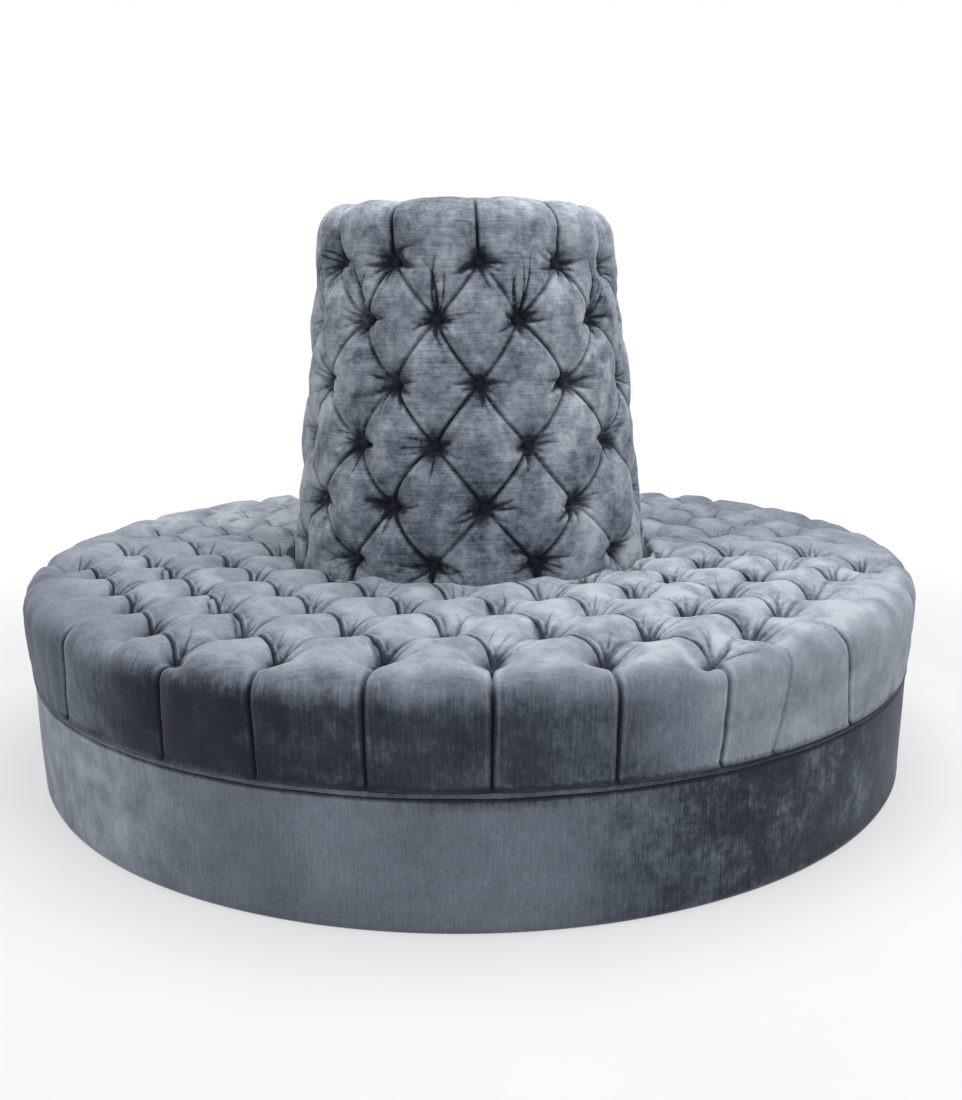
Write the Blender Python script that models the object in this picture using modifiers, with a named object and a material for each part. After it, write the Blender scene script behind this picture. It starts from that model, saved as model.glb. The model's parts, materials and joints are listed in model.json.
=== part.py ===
"""Round tufted lobby sofa.

Two half-round seats butt together round a tapered column back. All sizes are in
metres, +Z is up, the floor is z = 0 and the column's axis is the Z axis. The front
half lies towards -Y and the rear half is the same half turned by 180 degrees.
"""

import math

import bmesh
import bpy
from mathutils.geometry import delaunay_2d_cdt

# Overall sizes
BASE_RADIUS = 0.937
WELT_HEIGHT = 0.233
SEAT_CROWN_HEIGHT = 0.440
COLUMN_HEIGHT = 1.172
COLUMN_FOOT_RADIUS = 0.396
COLUMN_TAPER = 0.080

# Clearance between touching pieces, the overrun of every cutter, and the clearance
# of the ends of curved walls from the split plane
FIT = 0.0003
CUT_OVERRUN = 0.010
SHELL_END_CLEARANCE = 0.001

# Glides, dust cover and bottom plates
GLIDE_RADIUS = 0.015
GLIDE_HEIGHT = 0.008
GLIDE_EDGE = 0.002
GLIDE_INSET = 0.067
GLIDE_TURN_SHARES = (0.08, 0.36, 0.64, 0.92)
DUST_COVER_THICKNESS = 0.001
DUST_COVER_INSET = 0.012
BOTTOM_PLATE_THICKNESS = 0.018

# Seat frame
DECK_THICKNESS = 0.015
SKIN_THICKNESS = 0.005
WELL_PANEL_THICKNESS = 0.006
SPLIT_PANEL_THICKNESS = 0.018
STUD_DEPTH = 0.045
STUD_WIDTH = 0.035
STUD_TURN_SHARES = (0.14, 0.38, 0.62, 0.86)

# Covers of the base
HEM_HEIGHT = 0.004
BASE_COVER_THICKNESS = 0.004
WELT_RADIUS = 0.005

# Seat cushion and the foam under it
WELL_CLEARANCE = 0.008
BOXING_SWELL = 0.007
SEAT_DOME = 0.022
SHOULDER_DROP = 0.042
FOAM_COVER = 0.033
BOXING_PADDING = 0.039
WELL_PADDING = 0.020
SPLIT_PADDING = 0.022
OUTER_EDGE_ROUND = 0.045
WELL_EDGE_ROUND = 0.028
SPLIT_EDGE_ROUND = 0.014
CROWN_EDGE_SETBACK = 0.010

# Tufting of the seat: a diamond lattice, with rows of buttons parallel to the split
SEAT_TUFT_WIDTH = 0.165
SEAT_TUFT_ROW = 0.120
SEAT_TUFT_DEPTH = 0.038
FOLD_LIFT_SHARE = 0.42
TUFT_FADE = 0.045
EDGE_CLEAR = 0.030
DRAW_IN_START = 0.150
DRAW_IN_RATE_SHARE = 3.6
SPLIT_TUFT_SHARE = 0.5
SPLIT_TUFT_REACH = 0.060
PLEATS_PER_HALF = 16
PLEAT_DEPTH = 0.012
PLEAT_FOOT_SHARE = 0.35
POINT_SPACING_SHARE = 0.42

# Column frame
COLUMN_DISC_THICKNESS = 0.018
FORMER_THICKNESS = 0.015
FORMER_HEIGHT_SHARES = (0.26, 0.64)
POST_SIDE = 0.045
POST_INSET = 0.037
COLUMN_SKIN_THICKNESS = 0.004
COLUMN_FOAM_THICKNESS = 0.025
TAPER_START_DROP = 0.010
TAPER_BOW_SHARE = 1.15

# Column cover and cap
COVER_FOOT_RISE = 0.012
COVER_LEAST_THICKNESS = 0.010
COLUMN_TUFT_DEPTH = 0.035
COLUMN_BUTTONS_ROUND = 12
COLUMN_BUTTON_ROWS = 6
FIRST_ROW_RISE = 0.016
LAST_ROW_DROP = 0.049
COLUMN_TUFT_PHASE = math.radians(7.7)
RIM_PLEAT_POWER_SHARE = 8
RIM_DROP = 0.082
RIM_DEPTH = 0.066
RIM_REACH = 0.070
FRAME_TOP_DROP = 0.097
CAP_INSET = 0.080
CAP_RISE = 0.018

# Bolts that hold the halves together
BOLT_RADIUS = 0.004
BOLT_HOLE_PLAY = 0.0008
BOLT_HEAD_RADIUS = 0.010
BOLT_HEAD_HEIGHT = 0.004
BOLT_PLACE_SHARES = (0.325, 0.675)
BOLT_TIP_LENGTH = 0.004
BOLT_TIP_CHAMFER = 0.001
NUT_RADIUS = 0.0085
NUT_HEIGHT = 0.007

# Facets
ARC_STEPS = 36
TUFT_STEPS = 3
PLEAT_STEPS = 4
RIM_POINTS_PER_PLEAT = 2
BOXING_ROWS = 3
WELL_STEPS = 14
COLUMN_STEPS = COLUMN_BUTTONS_ROUND * TUFT_STEPS
SMALL_STEPS = 10
WELT_SIDES = 6
NUT_SIDES = 6
RIM_STEPS = 3
SMOOTH_ANGLE = math.radians(50)

# Sizes of the seat that follow from the ones above
DUST_COVER_BASE = GLIDE_HEIGHT + FIT
BOTTOM_PLATE_BASE = DUST_COVER_BASE + DUST_COVER_THICKNESS + FIT
BOTTOM_PLATE_TOP = BOTTOM_PLATE_BASE + BOTTOM_PLATE_THICKNESS
DECK_TOP = WELT_HEIGHT + WELT_RADIUS
DECK_BASE = DECK_TOP - DECK_THICKNESS
SKIN_RADIUS = BASE_RADIUS - BASE_COVER_THICKNESS - FIT
FRAME_RADIUS = SKIN_RADIUS - SKIN_THICKNESS - FIT
WELT_LINE_RADIUS = SKIN_RADIUS + FIT + WELT_RADIUS
WELL_RADIUS = COLUMN_FOOT_RADIUS + WELL_CLEARANCE
WELL_PANEL_RADIUS = WELL_RADIUS + WELL_PANEL_THICKNESS
BOXING_FOOT_RADIUS = WELT_LINE_RADIUS + WELT_RADIUS
SEAT_RADIUS = BOXING_FOOT_RADIUS + BOXING_SWELL
SEAT_EDGE_HEIGHT = SEAT_CROWN_HEIGHT - SEAT_DOME
SHOULDER_HEIGHT = SEAT_EDGE_HEIGHT - SHOULDER_DROP
CUSHION_BASE = DECK_TOP + FIT
FOAM_TOP = SHOULDER_HEIGHT - FOAM_COVER
FOAM_RADIUS = BOXING_FOOT_RADIUS - BOXING_PADDING
STUD_BASE = BOTTOM_PLATE_TOP + FIT
STUD_TOP = DECK_BASE - FIT

# Sizes of the column that follow from the ones above
COLUMN_DISC_BASE = BOTTOM_PLATE_TOP + FIT
POST_BASE = COLUMN_DISC_BASE + COLUMN_DISC_THICKNESS + FIT
COLUMN_HEAD_RADIUS = COLUMN_FOOT_RADIUS - COLUMN_TAPER
RIM_HEIGHT = COLUMN_HEIGHT - RIM_DROP
TAPER_START_HEIGHT = SEAT_CROWN_HEIGHT - TAPER_START_DROP
COLUMN_FRAME_TOP = COLUMN_HEIGHT - FRAME_TOP_DROP
TOP_DISC_BASE = COLUMN_FRAME_TOP - FORMER_THICKNESS
COLUMN_COVER_FOOT = DECK_TOP + COVER_FOOT_RISE
COLUMN_COVER_THICKNESS = COLUMN_TUFT_DEPTH + COVER_LEAST_THICKNESS
COLUMN_FOAM_TOP = COLUMN_FRAME_TOP + FIT + COLUMN_FOAM_THICKNESS
COLUMN_FOAM_DEPTH = COLUMN_COVER_THICKNESS + FIT
COLUMN_SKIN_DEPTH = COLUMN_FOAM_DEPTH + COLUMN_FOAM_THICKNESS + FIT
COLUMN_FRAME_DEPTH = COLUMN_SKIN_DEPTH + COLUMN_SKIN_THICKNESS + FIT
FIRST_ROW_HEIGHT = SEAT_CROWN_HEIGHT + FIRST_ROW_RISE
LAST_ROW_HEIGHT = RIM_HEIGHT - LAST_ROW_DROP
COLUMN_TUFT_ROW = (LAST_ROW_HEIGHT - FIRST_ROW_HEIGHT) / (COLUMN_BUTTON_ROWS - 1)
CAP_RADIUS = COLUMN_HEAD_RADIUS - CAP_INSET
CAP_EDGE_HEIGHT = COLUMN_HEIGHT - CAP_RISE

# Colour, roughness and metallic value of each material
MATERIALS = {
    "velvet": ((0.20, 0.24, 0.29), 0.85, 0.0),
    "plywood": ((0.55, 0.40, 0.24), 0.70, 0.0),
    "timber": ((0.60, 0.45, 0.28), 0.75, 0.0),
    "hardboard": ((0.33, 0.21, 0.12), 0.65, 0.0),
    "foam": ((0.80, 0.76, 0.62), 0.95, 0.0),
    "dust_cloth": ((0.03, 0.03, 0.03), 0.90, 0.0),
    "steel": ((0.62, 0.62, 0.64), 0.35, 1.0),
    "plastic": ((0.05, 0.05, 0.05), 0.50, 0.0),
}


def clear_scene():
    for thing in list(bpy.data.objects):
        bpy.data.objects.remove(thing, do_unlink=True)


def new_collection(name):
    group = bpy.data.collections.new(name)
    bpy.context.scene.collection.children.link(group)
    return group


def part_material(name, kind):
    colour, roughness, metallic = MATERIALS[kind]
    made = bpy.data.materials.new(name)
    made.use_nodes = True
    shader = made.node_tree.nodes["Principled BSDF"]
    shader.inputs["Base Color"].default_value = (*colour, 1.0)
    shader.inputs["Roughness"].default_value = roughness
    shader.inputs["Metallic"].default_value = metallic
    made.diffuse_color = (*colour, 1.0)
    return made


def add_part(name, data, kind, parent, location=(0.0, 0.0, 0.0), turn=0.0):
    """One named object for one piece, placed under its half or the column."""
    piece = bpy.data.objects.new(name, data)
    parts.objects.link(piece)
    piece.data.materials.append(part_material(name, kind))
    piece.parent = parent
    piece.location = location
    piece.rotation_euler = (0.0, 0.0, turn)
    return piece


def add_cutter(name, mesh, parent):
    tool = bpy.data.objects.new(name, mesh)
    cutters.objects.link(tool)
    tool.parent = parent
    tool.hide_render = True
    tool.display_type = "WIRE"
    return tool


def cut_with(piece, tool):
    cut = piece.modifiers.new("cut_" + tool.name, "BOOLEAN")
    cut.operation = "DIFFERENCE"
    cut.solver = "EXACT"
    cut.object = tool


def smooth(mesh):
    mesh.shade_smooth()
    mesh.set_sharp_from_angle(angle=SMOOTH_ANGLE)


def face_angle(radius, setback):
    """Angle by which an arc stops short of the split plane to stay setback from it."""
    return math.asin(setback / radius)


def facet_radius(radius, steps):
    """Distance from the centre to the flat of a polygon with this many sides."""
    return radius * math.cos(math.pi / steps)


def arc_points(radius, steps, setback):
    """Points of the front half's arc, from its left end round to its right end."""
    trim = face_angle(radius, setback)
    sweep = math.pi - trim - trim
    turns = [math.pi + trim + sweep * i / steps for i in range(steps + 1)]
    return [(radius * math.cos(a), radius * math.sin(a)) for a in turns]


def half_disc(radius, setback):
    return arc_points(radius, ARC_STEPS, setback)


def half_ring(inner, outer, setback):
    back = arc_points(inner, WELL_STEPS, setback)
    return arc_points(outer, ARC_STEPS, setback) + back[::-1]


def flat_curve(name, outline, thickness):
    """A filled 2D outline with half its thickness on each side of its own plane."""
    shape = bpy.data.curves.new(name, "CURVE")
    shape.dimensions = "2D"
    shape.fill_mode = "BOTH"
    shape.extrude = thickness / 2
    line = shape.splines.new("POLY")
    line.points.add(len(outline) - 1)
    for point, (x, y) in zip(line.points, outline):
        point.co = (x, y, 0.0, 1.0)
    line.use_cyclic_u = True
    return shape


def add_plate(name, outline, base, thickness, kind, parent):
    shape = flat_curve(name, outline, thickness)
    return add_part(name, shape, kind, parent, (0.0, 0.0, base + thickness / 2))


def box_mesh(name, size):
    """A block with the given three sides, centred on its own origin."""
    bm = bmesh.new()
    bmesh.ops.create_cube(bm, size=1.0)
    bmesh.ops.scale(bm, verts=bm.verts, vec=size)
    mesh = bpy.data.meshes.new(name)
    bm.to_mesh(mesh)
    bm.free()
    return mesh


def profile_mesh(name, profile, closed):
    """A line of (radius, height) points in the XZ plane, for a Screw modifier."""
    mesh = bpy.data.meshes.new(name)
    count = len(profile)
    links = [(i, i + 1) for i in range(count - 1)]
    if closed:
        links.append((count - 1, 0))
    mesh.from_pydata([(r, 0.0, z) for r, z in profile], links, [])
    return mesh


def add_screw(piece, steps, angle=math.tau):
    spin = piece.modifiers.new("turned", "SCREW")
    spin.angle = angle
    spin.steps = steps
    spin.render_steps = steps
    spin.use_merge_vertices = True
    spin.merge_threshold = FIT / ARC_STEPS
    spin.use_smooth_shade = True


def add_turned(name, profile, kind, parent, steps, closed=False, location=(0.0, 0.0, 0.0)):
    mesh = profile_mesh(name, profile, closed)
    piece = add_part(name, mesh, kind, parent, location)
    add_screw(piece, steps)
    return piece


def add_half_shell(name, profile, thickness, kind, parent, steps):
    """Half a turned wall: its outer face swept round the front and thickened inwards."""
    radius = profile[0][0]
    trim = face_angle(radius, SHELL_END_CLEARANCE)
    mesh = profile_mesh(name, profile, False)
    piece = add_part(name, mesh, kind, parent, turn=math.pi + trim)
    add_screw(piece, steps, math.pi - trim - trim)
    wall = piece.modifiers.new("wall", "SOLIDIFY")
    wall.thickness = thickness
    wall.offset = -1.0
    wall.use_even_offset = True
    return piece


def loft_mesh(name, rings, looped):
    """Faces between successive rings that each have the same number of points."""
    bm = bmesh.new()
    rows = [[bm.verts.new(point) for point in ring] for ring in rings]
    count = len(rows[0])
    pairs = list(zip(rows, rows[1:]))
    if looped:
        pairs.append((rows[-1], rows[0]))
    for low, high in pairs:
        for i in range(count):
            j = (i + 1) % count
            bm.faces.new((low[i], low[j], high[j], high[i]))
    bmesh.ops.recalc_face_normals(bm, faces=bm.faces)
    bmesh.ops.triangulate(bm, faces=bm.faces, quad_method="SHORT_EDGE")
    mesh = bpy.data.meshes.new(name)
    bm.to_mesh(mesh)
    bm.free()
    smooth(mesh)
    return mesh


def ramp(value, start, end):
    """Smooth step from 0 at start to 1 at end."""
    t = min(max((value - start) / (end - start), 0.0), 1.0)
    return t * t * (3.0 - t - t)


def puff(across, along):
    """Height share of a tufted diamond: 0 at its buttons, 1 at its middle."""
    a = abs(math.sin(math.pi * across))
    b = abs(math.sin(math.pi * along))
    pillow = math.sqrt(a * b)
    fold = math.sqrt(max(a + b - a * b, 0.0))
    return FOLD_LIFT_SHARE * fold + (1.0 - FOLD_LIFT_SHARE) * pillow


def edge_drop(distance, radius):
    """Depth of a quarter-round edge at this distance in from it."""
    inside = min(max(radius - distance, 0.0), radius)
    return radius - math.sqrt(radius * radius - inside * inside)


# Seat lattice

def drawn_in(radius):
    """Where a lattice point at this radius lies once the outer rows are drawn in."""
    start = SEAT_RADIUS - DRAW_IN_START
    if radius <= start:
        return radius
    rate = DRAW_IN_RATE_SHARE / SEAT_RADIUS
    root = math.sqrt(1.0 + 4.0 * rate * (radius - start))
    return start + (root - 1.0) / (rate + rate)


def spread_out(radius):
    """Lattice radius of a point of the cushion, the inverse of drawn_in."""
    start = SEAT_RADIUS - DRAW_IN_START
    beyond = max(radius - start, 0.0)
    return radius + beyond * beyond * DRAW_IN_RATE_SHARE / SEAT_RADIUS


def seat_lattice(x, y):
    """Diamond coordinates of a point: whole numbers in both are a button."""
    radius = math.hypot(x, y)
    stretch = spread_out(radius) / radius
    across = x * stretch / SEAT_TUFT_WIDTH
    along = y * stretch / (SEAT_TUFT_ROW + SEAT_TUFT_ROW)
    return across + along, across - along


def pleat_share(x, y):
    """1 on a pleat of the boxing and 0 midway between two."""
    turn = math.atan2(x, -y) * PLEATS_PER_HALF / math.pi
    nearest = abs(turn - math.floor(turn) - 0.5)
    return max(1.0 - nearest * PLEAT_STEPS, 0.0)


def seat_height(x, y):
    """Height of the cushion's tufted crown."""
    radius = math.hypot(x, y)
    share = (radius - WELL_RADIUS) / (SEAT_RADIUS - WELL_RADIUS)
    dome = 4.0 * share * (1.0 - share)
    height = SEAT_EDGE_HEIGHT + (SEAT_CROWN_HEIGHT - SEAT_EDGE_HEIGHT) * dome
    edge = SEAT_RADIUS - radius
    inner = radius - WELL_RADIUS
    tufted = ramp(edge, EDGE_CLEAR, EDGE_CLEAR + TUFT_FADE)
    tufted *= ramp(inner, 0.0, TUFT_FADE)
    split = ramp(-y, 0.0, SPLIT_TUFT_REACH)
    tufted *= SPLIT_TUFT_SHARE + (1.0 - SPLIT_TUFT_SHARE) * split
    height -= SEAT_TUFT_DEPTH * (1.0 - puff(*seat_lattice(x, y))) * tufted
    outside = 1.0 - ramp(edge, EDGE_CLEAR, EDGE_CLEAR + TUFT_FADE)
    height -= PLEAT_DEPTH * pleat_share(x, y) * outside
    height -= edge_drop(edge, OUTER_EDGE_ROUND)
    height -= edge_drop(inner, WELL_EDGE_ROUND)
    return height - edge_drop(-y, SPLIT_EDGE_ROUND)


def cushion_outline():
    """The crown's outline: the boxing's edge, then the well's, with the split ends."""
    outer = SEAT_RADIUS - CROWN_EDGE_SETBACK
    rim = arc_points(outer, PLEATS_PER_HALF * PLEAT_STEPS, FIT)
    well = arc_points(WELL_RADIUS, WELL_STEPS, FIT)[::-1]
    count = round((outer - WELL_RADIUS) / (SEAT_TUFT_WIDTH / TUFT_STEPS))
    step = (outer - WELL_RADIUS) / count
    right = [(outer - step * i, -FIT) for i in range(1, count)]
    left = [(-x, y) for x, y in right[::-1]]
    return rim + right + well + left, len(rim)


def crown_points():
    """Points round the rim, on the folds and inside the diamonds, clear of the outline."""
    gap = SEAT_TUFT_WIDTH / TUFT_STEPS * POINT_SPACING_SHARE
    columns = math.ceil(SEAT_RADIUS / SEAT_TUFT_WIDTH) * TUFT_STEPS
    rows = math.ceil(SEAT_RADIUS / SEAT_TUFT_ROW) * TUFT_STEPS
    rim_radius = SEAT_RADIUS - EDGE_CLEAR
    found = arc_points(rim_radius, PLEATS_PER_HALF * RIM_POINTS_PER_PLEAT, FIT)[1:-1]
    for row in range(1, rows + 1):
        shift = (row % 2) / 2
        for column in range(-columns, columns + 1):
            x = (column + shift) * SEAT_TUFT_WIDTH / TUFT_STEPS
            y = -row * SEAT_TUFT_ROW / TUFT_STEPS
            far = math.hypot(x, y)
            scale = drawn_in(far) / far
            x, y, near = x * scale, y * scale, far * scale
            if WELL_RADIUS + gap < near < rim_radius - gap and -y > gap:
                found.append((x, y))
    return found


def boxing_point(x, y, share, is_rim):
    """A point of the cushion's wall: share 1 at its shoulder and 0 at its foot."""
    if not is_rim:
        top = seat_height(x, y)
        return x, y, CUSHION_BASE + (top - CUSHION_BASE) * share
    swell = math.sin(math.pi * share / 2)
    radius = BOXING_FOOT_RADIUS + (SEAT_RADIUS - BOXING_FOOT_RADIUS) * swell
    depth = PLEAT_FOOT_SHARE + (1.0 - PLEAT_FOOT_SHARE) * share
    radius -= PLEAT_DEPTH * depth * pleat_share(x, y)
    scale = radius / math.hypot(x, y)
    height = CUSHION_BASE + (SHOULDER_HEIGHT - CUSHION_BASE) * share
    return x * scale, y * scale, height


def is_inside(point, outline):
    """Whether a point of the plane lies inside a closed outline."""
    x, y = point
    inside = False
    for (x1, y1), (x2, y2) in zip(outline, outline[1:] + outline[:1]):
        if (y1 > y) != (y2 > y) and x < x1 + (x2 - x1) * (y - y1) / (y2 - y1):
            inside = not inside
    return inside


def add_underside(bm, foot, room):
    """Close a cushion below its foot, with a lined room in it for the foam."""
    edge = [(v.co.x, v.co.y) for v in foot]
    count = len(edge)
    places = edge + room
    following = [(i + 1) % len(room) for i in range(len(room))]
    links = [(count + i, count + j) for i, j in enumerate(following)]
    made = delaunay_2d_cdt(places, links, [list(range(count))], 1, FIT / ARC_STEPS)
    low = foot + [bm.verts.new((x, y, CUSHION_BASE)) for x, y in room]
    high = [bm.verts.new((x, y, FOAM_TOP + FIT)) for x, y in room]
    for triangle in made[2]:
        corners = [made[3][i][0] for i in triangle]
        middle = [sum(places[i][axis] for i in corners) / 3 for axis in range(2)]
        if is_inside(middle, room):
            bm.faces.new([high[i - count] for i in corners])
        else:
            bm.faces.new([low[i] for i in corners])
    for i, j in enumerate(following):
        bm.faces.new((low[count + i], low[count + j], high[j], high[i]))


def cushion_mesh(name):
    """Half-round tufted cushion: crown, bulged pleated boxing and a room for its foam."""
    outline, rim_count = cushion_outline()
    points = outline + crown_points()
    border = [list(range(len(outline)))]
    made = delaunay_2d_cdt(points, [], border, 1, FIT / ARC_STEPS)
    flat, _, triangles = made[0], made[1], made[2]
    bm = bmesh.new()
    top = [bm.verts.new((p.x, p.y, seat_height(p.x, p.y))) for p in flat]
    for triangle in triangles:
        bm.faces.new([top[i] for i in triangle])
    sources = {old[0]: new for new, old in enumerate(made[3]) if old}
    upper = [top[sources[i]] for i in range(len(outline))]
    for row in range(BOXING_ROWS, -1, -1):
        share = row / BOXING_ROWS
        lower = []
        for i, (x, y) in enumerate(outline):
            is_rim = i < rim_count
            if row == BOXING_ROWS and not is_rim:
                lower.append(upper[i])
                continue
            lower.append(bm.verts.new(boxing_point(x, y, share, is_rim)))
        for i in range(len(outline)):
            j = (i + 1) % len(outline)
            corners = [upper[i], lower[i], lower[j], upper[j]]
            kept = [v for n, v in enumerate(corners) if v not in corners[:n]]
            if len(kept) > 2:
                bm.faces.new(kept)
        upper = lower
    room = half_ring(WELL_RADIUS + WELL_PADDING - FIT, FOAM_RADIUS + FIT, SPLIT_PADDING - FIT)
    add_underside(bm, upper, room)
    bmesh.ops.triangulate(bm, faces=bm.faces)
    bmesh.ops.recalc_face_normals(bm, faces=bm.faces)
    mesh = bpy.data.meshes.new(name)
    bm.to_mesh(mesh)
    bm.free()
    smooth(mesh)
    return mesh


# Seat half

def add_bottom(side, parent):
    add_plate(
        side + "_bottom_plate", half_disc(FRAME_RADIUS, FIT),
        BOTTOM_PLATE_BASE, BOTTOM_PLATE_THICKNESS, "plywood", parent,
    )
    add_plate(
        side + "_dust_cover", half_disc(FRAME_RADIUS - DUST_COVER_INSET, DUST_COVER_INSET),
        DUST_COVER_BASE, DUST_COVER_THICKNESS, "dust_cloth", parent,
    )


def add_glides(side, parent):
    profile = [
        (0.0, GLIDE_HEIGHT),
        (GLIDE_RADIUS, GLIDE_HEIGHT),
        (GLIDE_RADIUS, GLIDE_EDGE),
        (GLIDE_RADIUS - GLIDE_EDGE, 0.0),
        (0.0, 0.0),
    ]
    radius = FRAME_RADIUS - GLIDE_INSET
    for number, share in enumerate(GLIDE_TURN_SHARES, 1):
        turn = math.pi + math.pi * share
        place = (radius * math.cos(turn), radius * math.sin(turn), 0.0)
        name = f"{side}_glide_{number}"
        add_turned(name, profile, "plastic", parent, SMALL_STEPS, location=place)


def add_studs(side, parent):
    """Upright timbers behind the skin, between the bottom plate and the deck."""
    flat = facet_radius(FRAME_RADIUS, ARC_STEPS + ARC_STEPS)
    outer = math.sqrt(flat * flat - STUD_WIDTH * STUD_WIDTH / 4) - FIT
    radius = outer - STUD_DEPTH / 2
    height = STUD_TOP - STUD_BASE
    for number, share in enumerate(STUD_TURN_SHARES, 1):
        turn = math.pi + math.pi * share
        name = f"{side}_stud_{number}"
        mesh = box_mesh(name, (STUD_DEPTH, STUD_WIDTH, height))
        place = (radius * math.cos(turn), radius * math.sin(turn), STUD_BASE + height / 2)
        add_part(name, mesh, "timber", parent, place, turn)


def split_panel_span():
    """Distances of a split panel's two ends from the column's axis."""
    flat = facet_radius(FRAME_RADIUS, ARC_STEPS + ARC_STEPS)
    far = math.sqrt(flat * flat - SPLIT_PANEL_THICKNESS * SPLIT_PANEL_THICKNESS)
    return WELL_PANEL_RADIUS + FIT, far - FIT - FIT


def bolt_runs():
    """Distances of the two bolts of one side from the column's axis."""
    near, far = split_panel_span()
    return [near + (far - near) * share for share in BOLT_PLACE_SHARES]


def bolt_hole_mesh(name):
    bm = bmesh.new()
    radius = BOLT_RADIUS + BOLT_HOLE_PLAY
    depth = SPLIT_PANEL_THICKNESS + CUT_OVERRUN
    bmesh.ops.create_cone(
        bm, cap_ends=True, segments=SMALL_STEPS, radius1=radius, radius2=radius, depth=depth
    )
    mesh = bpy.data.meshes.new(name)
    bm.to_mesh(mesh)
    bm.free()
    return mesh


def add_split_panels(side, parent):
    """Plywood walls on the split, each with two holes for the joining bolts."""
    near, far = split_panel_span()
    height = STUD_TOP - STUD_BASE
    y = -FIT - SPLIT_PANEL_THICKNESS / 2
    for hand, sign in (("left", -1), ("right", 1)):
        name = f"{side}_{hand}_split_panel"
        mesh = box_mesh(name, (far - near, SPLIT_PANEL_THICKNESS, height))
        place = (sign * (near + far) / 2, y, STUD_BASE + height / 2)
        panel = add_part(name, mesh, "plywood", parent, place)
        for run in bolt_runs():
            tool = add_cutter(name + "_hole", bolt_hole_mesh(name + "_hole"), parent)
            tool.rotation_euler = (math.pi / 2, 0.0, 0.0)
            tool.location = (sign * run, y, (STUD_BASE + STUD_TOP) / 2)
            cut_with(panel, tool)


def add_seat_shells(side, parent):
    skin = [(SKIN_RADIUS, DECK_TOP), (SKIN_RADIUS, BOTTOM_PLATE_BASE)]
    add_half_shell(
        side + "_outer_skin", skin, SKIN_THICKNESS, "hardboard", parent, ARC_STEPS
    )
    well = [(WELL_PANEL_RADIUS, STUD_TOP), (WELL_PANEL_RADIUS, STUD_BASE)]
    add_half_shell(
        side + "_well_panel", well, WELL_PANEL_THICKNESS, "plywood", parent, WELL_STEPS
    )
    top = WELT_HEIGHT - WELT_RADIUS - FIT
    cover = [(BASE_RADIUS, top), (BASE_RADIUS, HEM_HEIGHT)]
    add_half_shell(
        side + "_base_cover", cover, BASE_COVER_THICKNESS, "velvet", parent, ARC_STEPS
    )


def add_welt(side, parent):
    """Piping laid round the joint between the boxing and the base cover."""
    name = side + "_welt"
    line = bpy.data.curves.new(name, "CURVE")
    line.dimensions = "3D"
    line.bevel_depth = WELT_RADIUS
    line.bevel_resolution = (WELT_SIDES - 4) // 2
    line.use_fill_caps = True
    points = arc_points(WELT_LINE_RADIUS, ARC_STEPS, SHELL_END_CLEARANCE)
    spline = line.splines.new("POLY")
    spline.points.add(len(points) - 1)
    for point, (x, y) in zip(spline.points, points):
        point.co = (x, y, 0.0, 1.0)
    add_part(name, line, "velvet", parent, (0.0, 0.0, WELT_HEIGHT))


def add_seat_top(side, parent):
    add_plate(
        side + "_deck", half_ring(WELL_RADIUS, FRAME_RADIUS, FIT),
        DECK_BASE, DECK_THICKNESS, "plywood", parent,
    )
    foam = half_ring(WELL_RADIUS + WELL_PADDING, FOAM_RADIUS, SPLIT_PADDING)
    thickness = FOAM_TOP - CUSHION_BASE
    add_plate(side + "_seat_foam", foam, CUSHION_BASE, thickness, "foam", parent)
    name = side + "_seat_cushion"
    add_part(name, cushion_mesh(name), "velvet", parent)


def build_half(side, turn):
    half = bpy.data.objects.new(side + "_half", None)
    parts.objects.link(half)
    half.rotation_euler = (0.0, 0.0, turn)
    add_bottom(side, half)
    add_glides(side, half)
    add_studs(side, half)
    add_split_panels(side, half)
    add_seat_shells(side, half)
    add_welt(side, half)
    add_seat_top(side, half)


# Column

def column_radius(height):
    """Outside radius of the tufted column, over the middles of its diamonds."""
    share = (height - TAPER_START_HEIGHT) / (RIM_HEIGHT - TAPER_START_HEIGHT)
    share = min(max(share, 0.0), 1.0) ** TAPER_BOW_SHARE
    return COLUMN_FOOT_RADIUS + (COLUMN_HEAD_RADIUS - COLUMN_FOOT_RADIUS) * share


def frame_radius(height):
    """Radius of the straight-sided frame whose three lengths follow column_radius."""
    middle = (TAPER_START_HEIGHT + RIM_HEIGHT) / 2
    levels = [COLUMN_FRAME_TOP, middle, TAPER_START_HEIGHT]
    if height <= TAPER_START_HEIGHT:
        return column_radius(height)
    high, low = levels[:2] if height > middle else levels[1:]
    share = (height - low) / (high - low)
    return column_radius(low) + (column_radius(high) - column_radius(low)) * share


def column_line(depth, low, high):
    """Points of the column's profile at this depth under its outside, top first."""
    middle = (TAPER_START_HEIGHT + RIM_HEIGHT) / 2
    levels = [high, middle, TAPER_START_HEIGHT, low]
    return [(frame_radius(h) - depth, h) for h in levels]


def add_column_disc(name, base, thickness, parent):
    radius = frame_radius(base + thickness) - COLUMN_FRAME_DEPTH
    top = base + thickness
    profile = [(0.0, top), (radius, top), (radius, base), (0.0, base)]
    return add_turned(name, profile, "plywood", parent, COLUMN_STEPS)


def post_places():
    """Centres of the posts, whose outer corners clear the skin at its narrow top."""
    radius = frame_radius(COLUMN_FRAME_TOP) - COLUMN_FRAME_DEPTH
    radius -= POST_SIDE / math.sqrt(2.0) + POST_INSET
    turns = [math.pi / 4 + math.pi / 2 * i for i in range(4)]
    return [(radius * math.cos(a), radius * math.sin(a)) for a in turns]


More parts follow.
